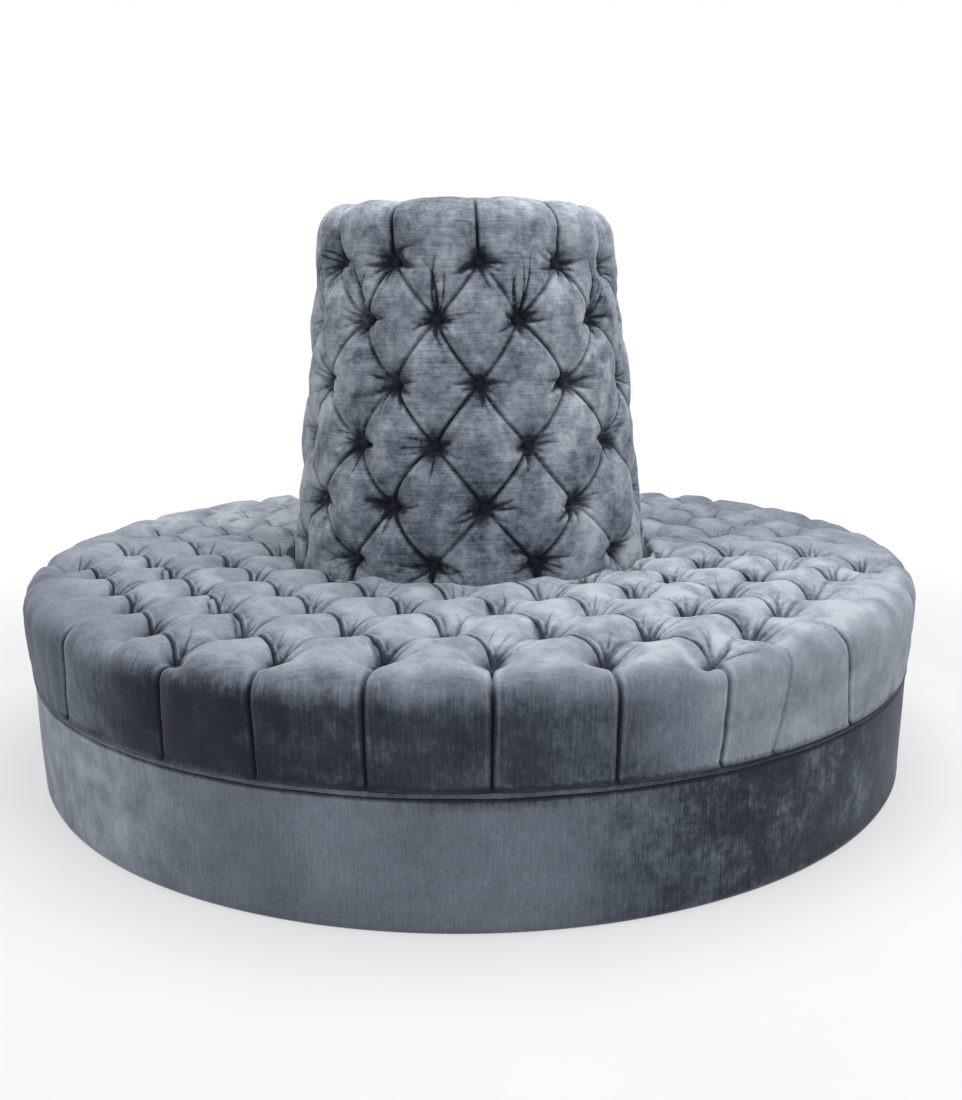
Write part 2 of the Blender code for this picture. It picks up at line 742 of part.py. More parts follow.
def add_column_frame(parent):
    add_column_disc("column_base_disc", COLUMN_DISC_BASE, COLUMN_DISC_THICKNESS, parent)
    add_column_disc("column_top_disc", TOP_DISC_BASE, FORMER_THICKNESS, parent)
    height = TOP_DISC_BASE - FIT - POST_BASE
    for number, (x, y) in enumerate(post_places(), 1):
        name = f"column_post_{number}"
        mesh = box_mesh(name, (POST_SIDE, POST_SIDE, height))
        add_part(name, mesh, "timber", parent, (x, y, POST_BASE + height / 2))
    for label, share in zip(("lower", "upper"), FORMER_HEIGHT_SHARES):
        name = f"column_{label}_former"
        base = POST_BASE + height * share
        former = add_column_disc(name, base, FORMER_THICKNESS, parent)
        side = POST_SIDE + FIT + FIT
        for number, (x, y) in enumerate(post_places(), 1):
            hole_name = f"{name}_hole_{number}"
            hole = box_mesh(hole_name, (side, side, FORMER_THICKNESS + CUT_OVERRUN))
            tool = add_cutter(hole_name, hole, parent)
            tool.location = (x, y, base + FORMER_THICKNESS / 2)
            cut_with(former, tool)
    low = COLUMN_DISC_BASE
    outer = column_line(COLUMN_SKIN_DEPTH, low, COLUMN_FRAME_TOP)
    inner = [(r - COLUMN_SKIN_THICKNESS, z) for r, z in outer[::-1]]
    add_turned("column_skin", outer + inner, "hardboard", parent, COLUMN_STEPS, closed=True)


def column_foam_outside():
    """Outer profile of the column's foam, from the middle of its top down its side."""
    side = column_line(COLUMN_FOAM_DEPTH, COLUMN_COVER_FOOT, COLUMN_FRAME_TOP)
    shoulder = side[0][0] - COLUMN_FOAM_THICKNESS / 2
    return [(0.0, COLUMN_FOAM_TOP), (shoulder, COLUMN_FOAM_TOP)] + side


def add_column_foam(parent):
    inside = column_line(COLUMN_SKIN_DEPTH - FIT, COLUMN_COVER_FOOT, COLUMN_FRAME_TOP + FIT)
    profile = column_foam_outside() + inside[::-1] + [(0.0, COLUMN_FRAME_TOP + FIT)]
    add_turned("column_foam", profile, "foam", parent, COLUMN_STEPS)


def ring(radius_at, height_at, phase):
    """Points of one ring round the column; radius and height follow the angle."""
    turns = [phase + math.tau * i / COLUMN_STEPS for i in range(COLUMN_STEPS)]
    points = []
    for a in turns:
        r = radius_at(a)
        points.append((r * math.cos(a), r * math.sin(a), height_at(a)))
    return points


def tuft_depth(angle, height):
    """How far the column's cover is drawn in at this angle and height."""
    step = math.tau / COLUMN_BUTTONS_ROUND
    across = (angle + math.pi / 2 - COLUMN_TUFT_PHASE) / step + 0.5
    rows = (height - FIRST_ROW_HEIGHT) / (COLUMN_TUFT_ROW + COLUMN_TUFT_ROW)
    drawn = COLUMN_TUFT_DEPTH * (1.0 - puff(across + rows, across - rows))
    above = ramp(height, LAST_ROW_HEIGHT, LAST_ROW_HEIGHT + COLUMN_TUFT_ROW / 2)
    below = ramp(FIRST_ROW_HEIGHT - height, 0.0, COLUMN_TUFT_ROW / 2)
    over_button = across + ((COLUMN_BUTTON_ROWS - 1) % 2) / 2
    pleat = abs(math.cos(math.pi * over_button)) ** RIM_PLEAT_POWER_SHARE
    return drawn * (1.0 - above) * (1.0 - below) + pleat * PLEAT_DEPTH * above


def column_cover_rings():
    """Outer rings from the foot over the rim to the cap, then inner rings back."""
    spacing = COLUMN_TUFT_ROW / TUFT_STEPS
    stagger = math.pi / COLUMN_STEPS
    start = COLUMN_TUFT_PHASE - math.pi / 2
    plain = round(start / (stagger + stagger)) * (stagger + stagger)
    rows = (COLUMN_BUTTON_ROWS - 1) * TUFT_STEPS + 1
    foot = column_radius(COLUMN_COVER_FOOT)
    rings = [ring(lambda a: foot, lambda a: COLUMN_COVER_FOOT, plain)]
    for row in range(-1, rows + 1):
        height = FIRST_ROW_HEIGHT + row * spacing
        outside = column_radius(height)
        phase = start + (row % 2) * stagger
        rings.append(
            ring(
                lambda a, h=height, r=outside: r - tuft_depth(a, h),
                lambda a, h=height: h,
                phase,
            )
        )
    for step in range(1, RIM_STEPS + 1):
        turn = math.pi / 2 * step / RIM_STEPS
        radius = COLUMN_HEAD_RADIUS - RIM_REACH * (1.0 - math.cos(turn))
        height = RIM_HEIGHT + RIM_DEPTH * math.sin(turn)
        rings.append(
            ring(
                lambda a, r=radius: r - tuft_depth(a, RIM_HEIGHT) * r / COLUMN_HEAD_RADIUS,
                lambda a, h=height: h,
                start + (rows + step) % 2 * stagger,
            )
        )
    rings.append(ring(lambda a: CAP_RADIUS, lambda a: CAP_EDGE_HEIGHT, plain))
    foam = column_foam_outside()[1:]
    inside = [(foam[0][0], foam[0][1] + FIT)]
    inside += [(r + FIT, z) for r, z in foam[1:]]
    rings.append(ring(lambda a: CAP_RADIUS, lambda a: COLUMN_FOAM_TOP + FIT, plain))
    for radius, height in inside:
        rings.append(ring(lambda a, r=radius: r, lambda a, h=height: h, plain))
    return rings


def add_column_cover(parent):
    mesh = loft_mesh("column_cover", column_cover_rings(), looped=True)
    add_part("column_cover", mesh, "velvet", parent)


def add_column_cap(parent):
    """Domed pad that closes the top of the column inside the cover's rim."""
    radius = facet_radius(CAP_RADIUS, COLUMN_STEPS) - FIT
    base = COLUMN_FOAM_TOP + FIT
    profile = []
    for step in range(RIM_STEPS):
        share = step / RIM_STEPS
        profile.append((radius * share, COLUMN_HEIGHT - CAP_RISE * share * share))
    profile += [(radius, CAP_EDGE_HEIGHT), (radius, base), (0.0, base)]
    add_turned("column_cap", profile, "velvet", parent, COLUMN_STEPS)


# Joining bolts

def add_joining_bolts(parent):
    """Coach bolts through both halves' split panels, each with its nut."""
    grip = SPLIT_PANEL_THICKNESS + FIT + FIT
    reach = grip + FIT + NUT_HEIGHT + BOLT_TIP_LENGTH
    bolt = [
        (0.0, grip + BOLT_HEAD_HEIGHT),
        (BOLT_HEAD_RADIUS / 2, grip + BOLT_HEAD_HEIGHT),
        (BOLT_HEAD_RADIUS, grip),
        (BOLT_RADIUS, grip),
        (BOLT_RADIUS, -reach + BOLT_TIP_CHAMFER),
        (BOLT_RADIUS - BOLT_TIP_CHAMFER, -reach),
        (0.0, -reach),
    ]
    foot = -grip - NUT_HEIGHT
    bore = (BOLT_RADIUS + FIT) / math.cos(math.pi / NUT_SIDES)
    nut = [(NUT_RADIUS, -grip), (NUT_RADIUS, foot), (bore, foot), (bore, -grip)]
    places = [sign * run for sign in (-1, 1) for run in bolt_runs()]
    for number, x in enumerate(places, 1):
        place = (x, 0.0, (STUD_BASE + STUD_TOP) / 2)
        shank = add_turned(
            f"joining_bolt_{number}", bolt, "steel", parent, SMALL_STEPS, location=place
        )
        shank.rotation_euler = (math.pi / 2, 0.0, 0.0)
        collar = add_turned(
            f"joining_nut_{number}", nut, "steel", parent, NUT_SIDES, True, place
        )
        collar.rotation_euler = (math.pi / 2, 0.0, 0.0)


clear_scene()
parts = new_collection("tufted_lobby_sofa")
cutters = new_collection("cutters")
build_half("front", 0.0)
build_half("rear", math.pi)
column = bpy.data.objects.new("column", None)
parts.objects.link(column)
add_column_frame(column)
add_column_foam(column)
add_column_cover(column)
add_column_cap(column)
add_joining_bolts(column)
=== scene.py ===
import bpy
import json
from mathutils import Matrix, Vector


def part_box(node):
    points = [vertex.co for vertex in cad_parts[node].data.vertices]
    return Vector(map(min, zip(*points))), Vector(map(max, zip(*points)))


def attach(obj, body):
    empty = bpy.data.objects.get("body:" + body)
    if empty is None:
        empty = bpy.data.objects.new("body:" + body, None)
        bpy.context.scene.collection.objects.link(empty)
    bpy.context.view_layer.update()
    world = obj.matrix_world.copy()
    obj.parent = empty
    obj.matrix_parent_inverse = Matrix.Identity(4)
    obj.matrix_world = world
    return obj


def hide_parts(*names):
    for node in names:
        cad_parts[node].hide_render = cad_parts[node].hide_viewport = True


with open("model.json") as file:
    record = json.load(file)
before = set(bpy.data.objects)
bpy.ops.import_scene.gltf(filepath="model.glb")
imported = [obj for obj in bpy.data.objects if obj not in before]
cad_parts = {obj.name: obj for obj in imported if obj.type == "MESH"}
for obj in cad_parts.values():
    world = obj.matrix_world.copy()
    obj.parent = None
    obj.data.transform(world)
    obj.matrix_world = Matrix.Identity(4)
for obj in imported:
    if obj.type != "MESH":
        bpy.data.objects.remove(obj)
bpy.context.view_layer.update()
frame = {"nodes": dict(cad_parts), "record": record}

import copy
import json
from math import asin, ceil, cos, hypot, pi, radians, sin, sqrt, tau

import bmesh
import bpy
import numpy as np
from mathutils import Matrix, Vector
from mathutils.geometry import delaunay_2d_cdt

rng = np.random.default_rng(7)

# The camera that was fitted to the photograph: place, turns and focal length in pixels
CAMERA_PLACE = (0.1442, -2.4679, 0.929)
CAMERA_YAW = radians(-2.8)
CAMERA_PITCH = radians(11.9)
CAMERA_ROLL = -0.0099
FOCAL_PIXELS = 1107.0
FRAME_HEIGHT = 1100
SENSOR = 36.0
CLIP_END = 60.0

# Sizes read from the frame
cushion_low, cushion_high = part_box("front_seat_cushion")
base_low, base_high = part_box("front_base_cover")
welt_low, welt_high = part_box("front_welt")
cover_low, cover_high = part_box("column_cover")
cap_low, cap_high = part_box("column_cap")
FOAM_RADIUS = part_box("column_foam")[1][0]
SEAT_RADIUS = cushion_high[0]
CUSHION_BASE = cushion_low[2]
FIT = -cushion_high[1]
BASE_RADIUS = base_high[0]
BASE_END = -base_high[1]
WELT_RADIUS = (welt_high[2] - welt_low[2]) / 2 + 0.0006
WELT_HEIGHT = (welt_high[2] + welt_low[2]) / 2
WELT_LINE = welt_high[0] - 0.005
COLUMN_FOOT_RADIUS = cover_high[0]
COLUMN_FOOT = cover_low[2]
COLUMN_TOP = cap_high[2]
CAP_RADIUS = cap_high[0]
CAP_FOOT = cap_low[2]

# Base cover: its thickness, and how far it hangs slack, tucks in at its hem and sways
BASE_THICKNESS = 0.004
BASE_SLACK = 0.004
HEM_TUCK = 0.0010
HEM_ROLL = 0.0010
BASE_SWAYS = ((0.0011, 9.0, 1.3, 0.0), (0.0006, 23.0, 0.0, 4.0))

# Seat profile
BOXING_SWELL = 0.007
SEAT_CROWN = 0.440
SEAT_EDGE = 0.418
WELL_EDGE = 0.436
OUTER_ROUND = 0.045
WELL_ROUND = 0.015
SPLIT_ROUND = 0.014
WELL_RADIUS = COLUMN_FOOT_RADIUS + 0.0015
BOXING_FOOT = SEAT_RADIUS - BOXING_SWELL

# Seat tufts: for each row counted from the split its distance from it, its pitch, how
# far its ends bend back, and its places in pitches
TUFT_WIDTH = 0.1655
TUFT_ROW = 0.120
LATTICE_SHIFT = -0.006
SEAT_ROWS = {
    7: (0.838, 0.1715, 0.85, (0.5, 1.5, 2.5)),
    6: (0.722, 0.1690, 0.46, (0.0, 1.0, 2.0, 3.0)),
    5: (0.593, 0.1665, 0.20, (0.5, 1.5, 2.5, 3.5)),
    4: (0.480, 0.1655, 0.11, (0.0, 1.0, 2.0, 3.0, 4.0)),
    3: (0.360, 0.1655, 0.15, (1.5, 2.5, 3.5, 4.5)),
    2: (0.240, 0.1645, 0.00, (2.0, 3.0, 4.0, 5.0)),
    1: (0.120, 0.1655, 0.00, (2.5, 3.5, 4.5)),
}
SEAT_PIT = 0.042
SEAT_FUNNEL = 0.040
LIP_DEPTH = 0.007
BUTTON_FROM_WELL = 0.032
JITTER = 0.0020
WANDER = 0.0016

# Folds between two seat buttons, by look: how much of their depth is left in the middle,
# how far they bow, the depth of their slit and the length over which it fades out
SEAT_FOLDS = {"crisp": (0.45, -0.017, 0.011, 0.014), "soft": (0.24, 0.0, 0.005, 0.08)}
LIP_SLIT = 0.008
LIP_FADE = 0.04

# Pleats of the boxing: row and place of the button that each starts from, azimuth at
# the seat's edge and at the piping in degrees from the front, and strength
PLEATS = (
    (7, -2.5, -28.7, -28.6, 1.0), (7, -1.5, -17.9, -17.5, 1.0), (7, -0.5, -6.6, -6.5, 1.0),
    (7, 0.5, 5.2, 5.0, 1.0), (7, 1.5, 16.9, 16.6, 1.0), (7, 2.5, 28.6, 27.6, 1.0),
    (6, -3.0, -36.5, -39.5, 0.2), (6, 3.0, 36.4, 34.0, 0.4),
    (5, -3.5, -45.8, -46.3, 1.3), (5, 3.5, 45.6, 46.8, 1.4),
    (4, -4.0, -56.5, -58.0, 0.25), (4, 4.0, 56.5, 58.0, 0.25),
    (3, -4.5, -68.5, -70.0, 0.9), (3, 4.5, 68.5, 70.0, 0.9),
    (2, -5.0, -81.0, -81.5, 0.6), (2, 5.0, 81.0, 81.5, 0.6),
)
PLEAT_EDGE_DEPTH = 0.017
PLEAT_FOOT_DEPTH = 0.005
PLEAT_WIDTH = 0.044
PLEAT_SLIT = 0.008
SOFT_PLEAT_SLIT = 0.003

# Column profile and tufts
TAPER_START = 0.430
RIM_HEIGHT = 1.090
COLUMN_HEAD_RADIUS = COLUMN_FOOT_RADIUS - 0.080
TAPER_BOW = 1.15
SIDE_POINTS = 120
RIM_REACH = 0.070
RIM_RISE = 0.066
RIM_DIP = 0.004
RIM_RADIUS = CAP_RADIUS + 0.001
LINING_RADIUS = FOAM_RADIUS + 0.0004
# The cover's hidden inner wall: radius and height
LINING = ((LINING_RADIUS, COLUMN_FOOT), (LINING_RADIUS, TAPER_START), (0.3152, 0.7600),
          (0.2733, 1.0752), (0.2611, CAP_FOOT), (RIM_RADIUS, CAP_FOOT))
COLUMN_ROUND = 12
COLUMN_PHASE = 7.7
# Each row of buttons from the lowest: its height, and the azimuths that were measured
COLUMN_ROWS = (
    (0.456, (-36.5, -8.2, 23.7, 56.7)),
    (0.569, (-53.5, -22.0, 7.8, 39.3, 79.1)),
    (0.688, (-35.6, -8.2, 23.2, 56.9)),
    (0.806, (-55.5, -23.1, 6.9, 39.1, 71.5)),
    (0.928, (-36.4, -8.2, 21.6, 54.9)),
    (1.038, (-24.9, 7.6, 40.2)),
)
COLUMN_PIT = 0.040
COLUMN_FUNNEL = 0.062
COLUMN_DEEPEST = 0.0425
BUTTON_DEEPEST = 0.0415
HEAD_START, HEAD_END = 0.85, 1.12
HEAD_SWELL = 0.002
HEAD_LEAN = 0.005
UNROLL_RADIUS = 0.356
SEAM = pi / 2

# Folds
FOLD_WIDTH = 0.067
COLUMN_FOLD_WIDTH = 0.066
RIM_FOLD_WIDTH = 0.072
BUTTON_RADIUS = 0.0105
SHARPNESS = 330.0
BROAD_SHARE = 0.45
ROLL_REACH = 0.022
LIP_REACH = 0.015
WALL_REACH = 0.007
TUCK_REACH = 0.048
SLIT_REACH = 0.0038
FADE = 0.014
# A crisp fold leans over its left side; at its right lie a ridge with a painted highlight
# and bands of painted shade, each with its place, spread, shade and height
LEAN_PLACE, LEAN_SPREAD, LEAN_SHIFT = 0.0045, 0.006, 0.0034
CRISP_BANDS = ((0.0082, 0.0020, -0.38, 0.0026), (0.0042, 0.0022, 0.90, 0.0),
               (0.0118, 0.0022, 0.55, 0.0), (0.0180, 0.0070, 0.18, 0.0))
# Painted highlights on both sides of an even fold: place, spread and shade
EVEN_HIGHLIGHT_BAND = (0.0085, 0.003, -0.20)
# Painted shade: full in a slit of this depth, across a fold's valley and round a pit, each with
# its spread, and in a gather by its depth against this one
SLIT_SHADE_DEPTH = 0.011
SLIT_SPREAD = 0.0030
VALLEY_SHADE, VALLEY_SPREAD = 0.32, 0.016
PIT_SHADE, PIT_SPREAD = 1.2, 0.012
GATHER_DEPTH = 0.006

# Gathers that run out from a button: ranges of their reach, depth and width, and for the
# column also their middle turn, spread and greatest number
SEAT_GATHERS = ((0.060, 0.115), (0.0042, 0.0074), (0.0065, 0.0095))
COLUMN_GATHERS = ((0.035, 0.082), (0.0050, 0.0095), (0.0070, 0.0110))
COLUMN_SIDES = ((-8.0, 30.0, 5), (188.0, 30.0, 5), (270.0, 26.0, 3))

# Points of a tufted sheet: lines beside each crease and gather and the steps along them,
# rings round each button, and the field between; then the least gap of each kind
CREASE_OFFSETS, CREASE_STEP = (0.0, 0.0028, 0.0056, 0.0095, 0.0138), 0.0045
GATHER_OFFSETS, GATHER_STEP = (0.0, 0.0036), 0.0055
PIT_RINGS = ((0.0, 1), (0.0045, 7), (0.009, 12), (0.0135, 16))
FIELD_STEP = 0.0095
PIT_GAP, LINE_GAP, BESIDE_GAP, FIELD_GAP = 0.0028, 0.0030, 0.0027, 0.0062
MARGIN = 0.004
SEAM_MARGIN = 0.08


def unit(value):
    return np.clip(value, 0.0, 1.0)


def smoothstep(value, start, end):
    t = unit((value - start) / (end - start))
    return t * t * (3.0 - 2.0 * t)


def bell(distance, spread):
    return np.exp(-(distance / spread) ** 2)


def drop(distance, radius):
    """Depth of a quarter-round edge at this distance in from it."""
    inside = np.clip(radius - distance, 0.0, radius)
    return radius - np.sqrt(radius * radius - inside * inside)


def polar(radius, turn, *height):
    return (radius * cos(turn), radius * sin(turn), *height)


def round_turns(count, start=0.0):
    return [start + tau * i / count for i in range(count)]


def about_axis(radii, turns, heights):
    return np.stack([radii * np.cos(turns), radii * np.sin(turns), heights], axis=1)


def azimuths(verts):
    """Degrees from the front, positive to the right."""
    return np.degrees([np.arctan2(v[0], -v[1]) for v in verts])


def quarter(count):
    """Angles of a quarter turn after its start."""
    return np.linspace(0.0, pi / 2, count)[1:]


def lengths(line):
    """Length along a line at each of its points."""
    return np.concatenate([[0.0], np.cumsum(np.hypot(*np.diff(line, axis=0).T))])


class Profile:
    """A meridian line: radius, height and outward normal along its length."""

    def __init__(self, points, outside, anchor_radius=None):
        line = np.array(points, float)
        self.s = lengths(line)
        if anchor_radius is not None:
            anchor = np.argmin(np.abs(line[:, 0] - anchor_radius))
            self.s = self.s - self.s[anchor] + line[anchor, 0]
        self.r, self.z = line.T
        tangent = np.gradient(line, self.s, axis=0)
        tangent /= np.linalg.norm(tangent, axis=1)[:, None]
        self.nr, self.nz = -outside * tangent[:, 1], outside * tangent[:, 0]
        self.start, self.end = float(self.s[0]), float(self.s[-1])

    def sunk(self, s, depth):
        """Radius and height of points pressed in from the line, and its normal there."""
        r, z, nr, nz = (np.interp(s, self.s, v) for v in (self.r, self.z, self.nr, self.nz))
        size = np.hypot(nr, nz)
        nr, nz = nr / size, nz / size
        return r - depth * nr, z - depth * nz, nr, nz


def seat_profile():
    """From the foot of the well's wall over the crown and down the boxing."""

    def crown(r):
        share = (r - WELL_RADIUS) / (SEAT_RADIUS - WELL_RADIUS)
        edge = WELL_EDGE if share < 0.5 else SEAT_EDGE
        return edge + (SEAT_CROWN - edge) * 4.0 * share * (1.0 - share)

    points = [(WELL_RADIUS, z) for z in np.linspace(CUSHION_BASE, WELL_EDGE - WELL_ROUND, 30)]
    for a in quarter(16):
        r = WELL_RADIUS + WELL_ROUND * (1.0 - cos(a))
        points.append((r, crown(r) - WELL_ROUND * (1.0 - sin(a))))
    far = SEAT_RADIUS - OUTER_ROUND
    points += [(r, crown(r)) for r in np.linspace(WELL_RADIUS + WELL_ROUND, far, 90)[1:]]
    for a in quarter(22):
        r = far + OUTER_ROUND * sin(a)
        points.append((r, crown(r) - OUTER_ROUND * (1.0 - cos(a))))
    shoulder = points[-1][1]
    for share in np.linspace(1.0, 0.0, 40)[1:]:
        r = BOXING_FOOT + BOXING_SWELL * sin(pi / 2 * share)
        points.append((r, CUSHION_BASE + (shoulder - CUSHION_BASE) * share))
    return Profile(points, 1.0, WELL_RADIUS + WELL_ROUND)


def column_profile():
    """From the foot of the column's cover up its taper and over its rim."""

    def side(z):
        share = min(max((z - TAPER_START) / (RIM_HEIGHT - TAPER_START), 0.0), 1.0)
        return COLUMN_FOOT_RADIUS - (COLUMN_FOOT_RADIUS - COLUMN_HEAD_RADIUS) * share ** TAPER_BOW

    points = [(side(z), z) for z in np.linspace(COLUMN_FOOT, RIM_HEIGHT, SIDE_POINTS)]
    for a in quarter(20):
        r = COLUMN_HEAD_RADIUS - RIM_REACH * (1.0 - cos(a))
        points.append((r, RIM_HEIGHT + RIM_RISE * sin(a)))
    edge = points[-1]
    for share in np.linspace(0.0, 1.0, 6)[1:]:
        r = edge[0] + (RIM_RADIUS - edge[0]) * share
        points.append((r, edge[1] - RIM_DIP * share * share))
    return Profile(points, -1.0)


def seat_place(row, place):
    """Plan position of a seat button, kept clear of the well's edge."""
    distance, pitch, bend, _ = SEAT_ROWS[row]
    x = place * pitch + LATTICE_SHIFT
    y = bend * x ** 4 - distance
    far = hypot(x, y)
    least = WELL_RADIUS + BUTTON_FROM_WELL
    if WELL_RADIUS - 0.01 < far < least:
        x, y = x * least / far, y * least / far
    return np.array((x, y)) + rng.normal(0.0, JITTER, 2)


def rounded(line):
    """A line with its corners cut twice."""
    for _ in range(2):
        cuts = [(a * 0.75 + b * 0.25, a * 0.25 + b * 0.75) for a, b in zip(line, line[1:])]
        line = np.concatenate([line[:1], *cuts, line[-1:]])
    return line


def left_of(steps):
    return np.stack([-steps[:, 1], steps[:, 0]], axis=1)


class Fold:
    """A crease along a line of a flat sheet, with its depths and look.

    Look is crisp (rolled over on the left of the line and tucked under on its right), even
    (rolled on both sides), soft (a rounded valley) or gather (a small groove that fades
    out). Depths are those of its bed at even steps, and sag is the share of them left in
    its middle. Slit is the depth of the line in its bottom, and fade the length over
    which that ends.
    """

    def __init__(self, line, depths, look, width, sag=1.0, bow=0.0, slit=0.0, fade=FADE):
        line = np.array(line, float)
        if bow:
            t = np.linspace(0.0, 1.0, 9)[:, None]
            along = line[-1] - line[0]
            beside = np.array((-along[1], along[0])) / np.linalg.norm(along)
            line = line[0] + along * t + beside * bow * 4.0 * t * (1.0 - t)
        elif len(line) > 2:
            line = rounded(line)
        self.line = line
        self.s = lengths(line)
        self.length = float(self.s[-1])
        self.depths, self.look, self.width, self.sag = depths, look, width, sag
        self.slit, self.fade = slit, fade

    def moved(self, by):
        made = copy.copy(self)
        made.line = self.line + by
        return made

    def bed(self, t):
        """Depth of the fold along it."""
        if self.look == "gather":
            return self.depths[0] * np.sin(np.pi * t ** 0.6)
        depth = np.interp(t, np.linspace(0.0, 1.0, len(self.depths)), self.depths)
        return depth * (1.0 - (1.0 - self.sag) * np.sin(np.pi * t) ** 0.65)

    def strength(self, t):
        """How much of the slit and the roll is left at t."""
        start = smoothstep(t * self.length, -0.001, FADE)
        return start * smoothstep((1.0 - t) * self.length, -0.001, self.fade)

    def near(self, points):
        """Place along the fold from 0 to 1, signed distance beside it, and distance."""
        t, side = np.zeros(len(points)), np.zeros(len(points))
        best = np.full(len(points), np.inf)
        for k, (a, b) in enumerate(zip(self.line, self.line[1:])):
            rel, step = points - a, b - a
            u = unit(rel @ step / (step @ step))
            away = np.hypot(*(rel - u[:, None] * step).T)
            closer = away < best
            best[closer] = away[closer]
            t[closer] = (self.s[k] + (self.s[k + 1] - self.s[k]) * u[closer]) / self.length
            left = step[0] * rel[closer, 1] - step[1] * rel[closer, 0] > 0.0
            side[closer] = np.where(left, away[closer], -away[closer])
        return t, side, best

    def beside(self, t):
        """Unit vectors to the left of the fold."""
        last = len(self.line) - 1
        steps = np.diff(self.line, axis=0)[np.clip((t * last).astype(int), 0, last - 1)]
        return left_of(steps) / np.linalg.norm(steps, axis=1)[:, None]

    def places(self, spacing, offset):
        """Points of the sheet along the fold and offset beside it."""
        at = np.linspace(0.0, 1.0, max(int(self.length / spacing), 2) + 1) * self.length
        k = np.clip(np.searchsorted(self.s, at) - 1, 0, len(self.line) - 2)
        step = np.diff(self.line, axis=0)[k] / np.diff(self.s)[k][:, None]
        return self.line[k] + step * (at - self.s[k])[:, None] + left_of(step) * offset


def fall(first, last):
    """Depths that fall off quickly from the first to the last."""
    return tuple(first + (last - first) * share for share in (0.0, 0.6, 0.88, 1.0))


def round_slope(q):
    """Cross-section of a full puff that rolls steeply into its crease."""
    return 1.0 - np.sqrt(np.maximum(1.0 - (1.0 - unit(q)) ** 2, 0.0))


def soft_slope(q):
    """Cross-section of a rounded valley."""
    return (1.0 - unit(q) ** 2) ** 2


def gentle_slope(q):
    return (1.0 - unit(q)) ** 1.7


def carve(points, folds, buttons, pit, funnel):
    """Depth, sideways shift and shade that folds and buttons give to points of a sheet.

    Shade is painted shade: 1 in the bottom of a fold and round a pit, and below 0 a painted
    highlight on a ridge beside a fold.
    """
    total, extra, shade = np.zeros((3, len(points)))
    shift = np.zeros((len(points), 2))
    for fold in folds:
        low, high = fold.line.min(axis=0) - fold.width, fold.line.max(axis=0) + fold.width
        close = np.flatnonzero(((points > low) & (points < high)).all(axis=1))
        t, side, distance = fold.near(points[close])
        inside = distance < fold.width
        close, t, side, distance = close[inside], t[inside], side[inside], distance[inside]
        q = distance / fold.width
        bed = fold.bed(t)
        if fold.look == "gather":
            extra[close] += bed * (1.0 - q) ** 1.2
            # Painted shade in the gather's groove, with a painted highlight beside it
            tone = 0.85 * (1.0 - q) ** 2 - 0.50 * q * (1.0 - q) ** 0.5
            shade[close] += bed / GATHER_DEPTH * tone
            continue
        strength = fold.strength(t)
        slope = soft_slope(q)
        if fold.look == "crisp":
            tucked = 0.5 * round_slope(distance / WALL_REACH)
            tucked += 0.5 * gentle_slope(distance / TUCK_REACH)
            rolled = np.where(side > 0.0, round_slope(distance / LIP_REACH), tucked)
            lean = bell(side - LEAN_PLACE, LEAN_SPREAD) * strength
            shift[close] -= fold.beside(t) * (LEAN_SHIFT * lean)[:, None]
            # The ridge beside a crisp fold, with its painted highlight and bands of painted shade
            for place, spread, tone, height in CRISP_BANDS:
                band = bell(side + place, spread) * strength
                extra[close] -= height * band
                shade[close] += tone * band
        elif fold.look == "even":
            rolled = round_slope(distance / ROLL_REACH)
            # Painted highlights on both sides of an even fold
            place, spread, tone = EVEN_HIGHLIGHT_BAND
            shade[close] += tone * bell(distance - place, spread) * strength
        if fold.look != "soft":
            slope = BROAD_SHARE * slope + (1.0 - BROAD_SHARE) * rolled
        extra[close] += fold.slit * strength * unit(1.0 - distance / SLIT_REACH)
        # Painted shade in the slit and across the fold's valley
        weight = min(fold.slit / SLIT_SHADE_DEPTH, 1.0)
        shade[close] += weight * strength * bell(distance, SLIT_SPREAD)
        valley = unit(bed / pit) * min(fold.width * 5.0, VALLEY_SHADE)
        shade[close] += valley * bell(distance, VALLEY_SPREAD)
        total[close] += np.expm1(SHARPNESS * np.maximum(bed * slope, 0.0))
    for centre in buttons:
        reach = np.hypot(*(points - centre).T)
        close = reach < funnel
        share = unit((funnel - reach[close]) / (funnel - BUTTON_RADIUS * 0.7))
        total[close] += np.expm1(SHARPNESS * pit * share ** 2.0)
        # Painted shade round each pit
        shade[close] += PIT_SHADE * bell(reach[close], PIT_SPREAD + funnel * 0.13)
    depth = np.log1p(total) / SHARPNESS
    # The unevenness of stuffing laid in by hand, in slow waves and finer ones
    x, y = points.T
    waves = np.sin(31.0 * x + 2.1 * np.sin(23.0 * y)) * np.sin(27.0 * y + 1.7 * np.sin(19.0 * x))
    fine = np.sin(83.0 * x + 2.0 * np.sin(61.0 * y)) * np.sin(71.0 * y + 2.0 * np.sin(67.0 * x))
    return depth + extra + WANDER * (waves + 0.35 * fine), shift, np.clip(shade, -0.5, 1.0)


def fan(spot, turn, reach, depth, width):
    """A gather that runs out from a button, slightly bent."""
    bow = rng.normal(0.0, 0.08) * reach
    return Fold((spot, spot + reach * np.array(polar(1.0, radians(turn)))), (depth,), "gather",
                width, bow=bow)


def drawn(ranges):
    return [rng.uniform(*span) for span in ranges]


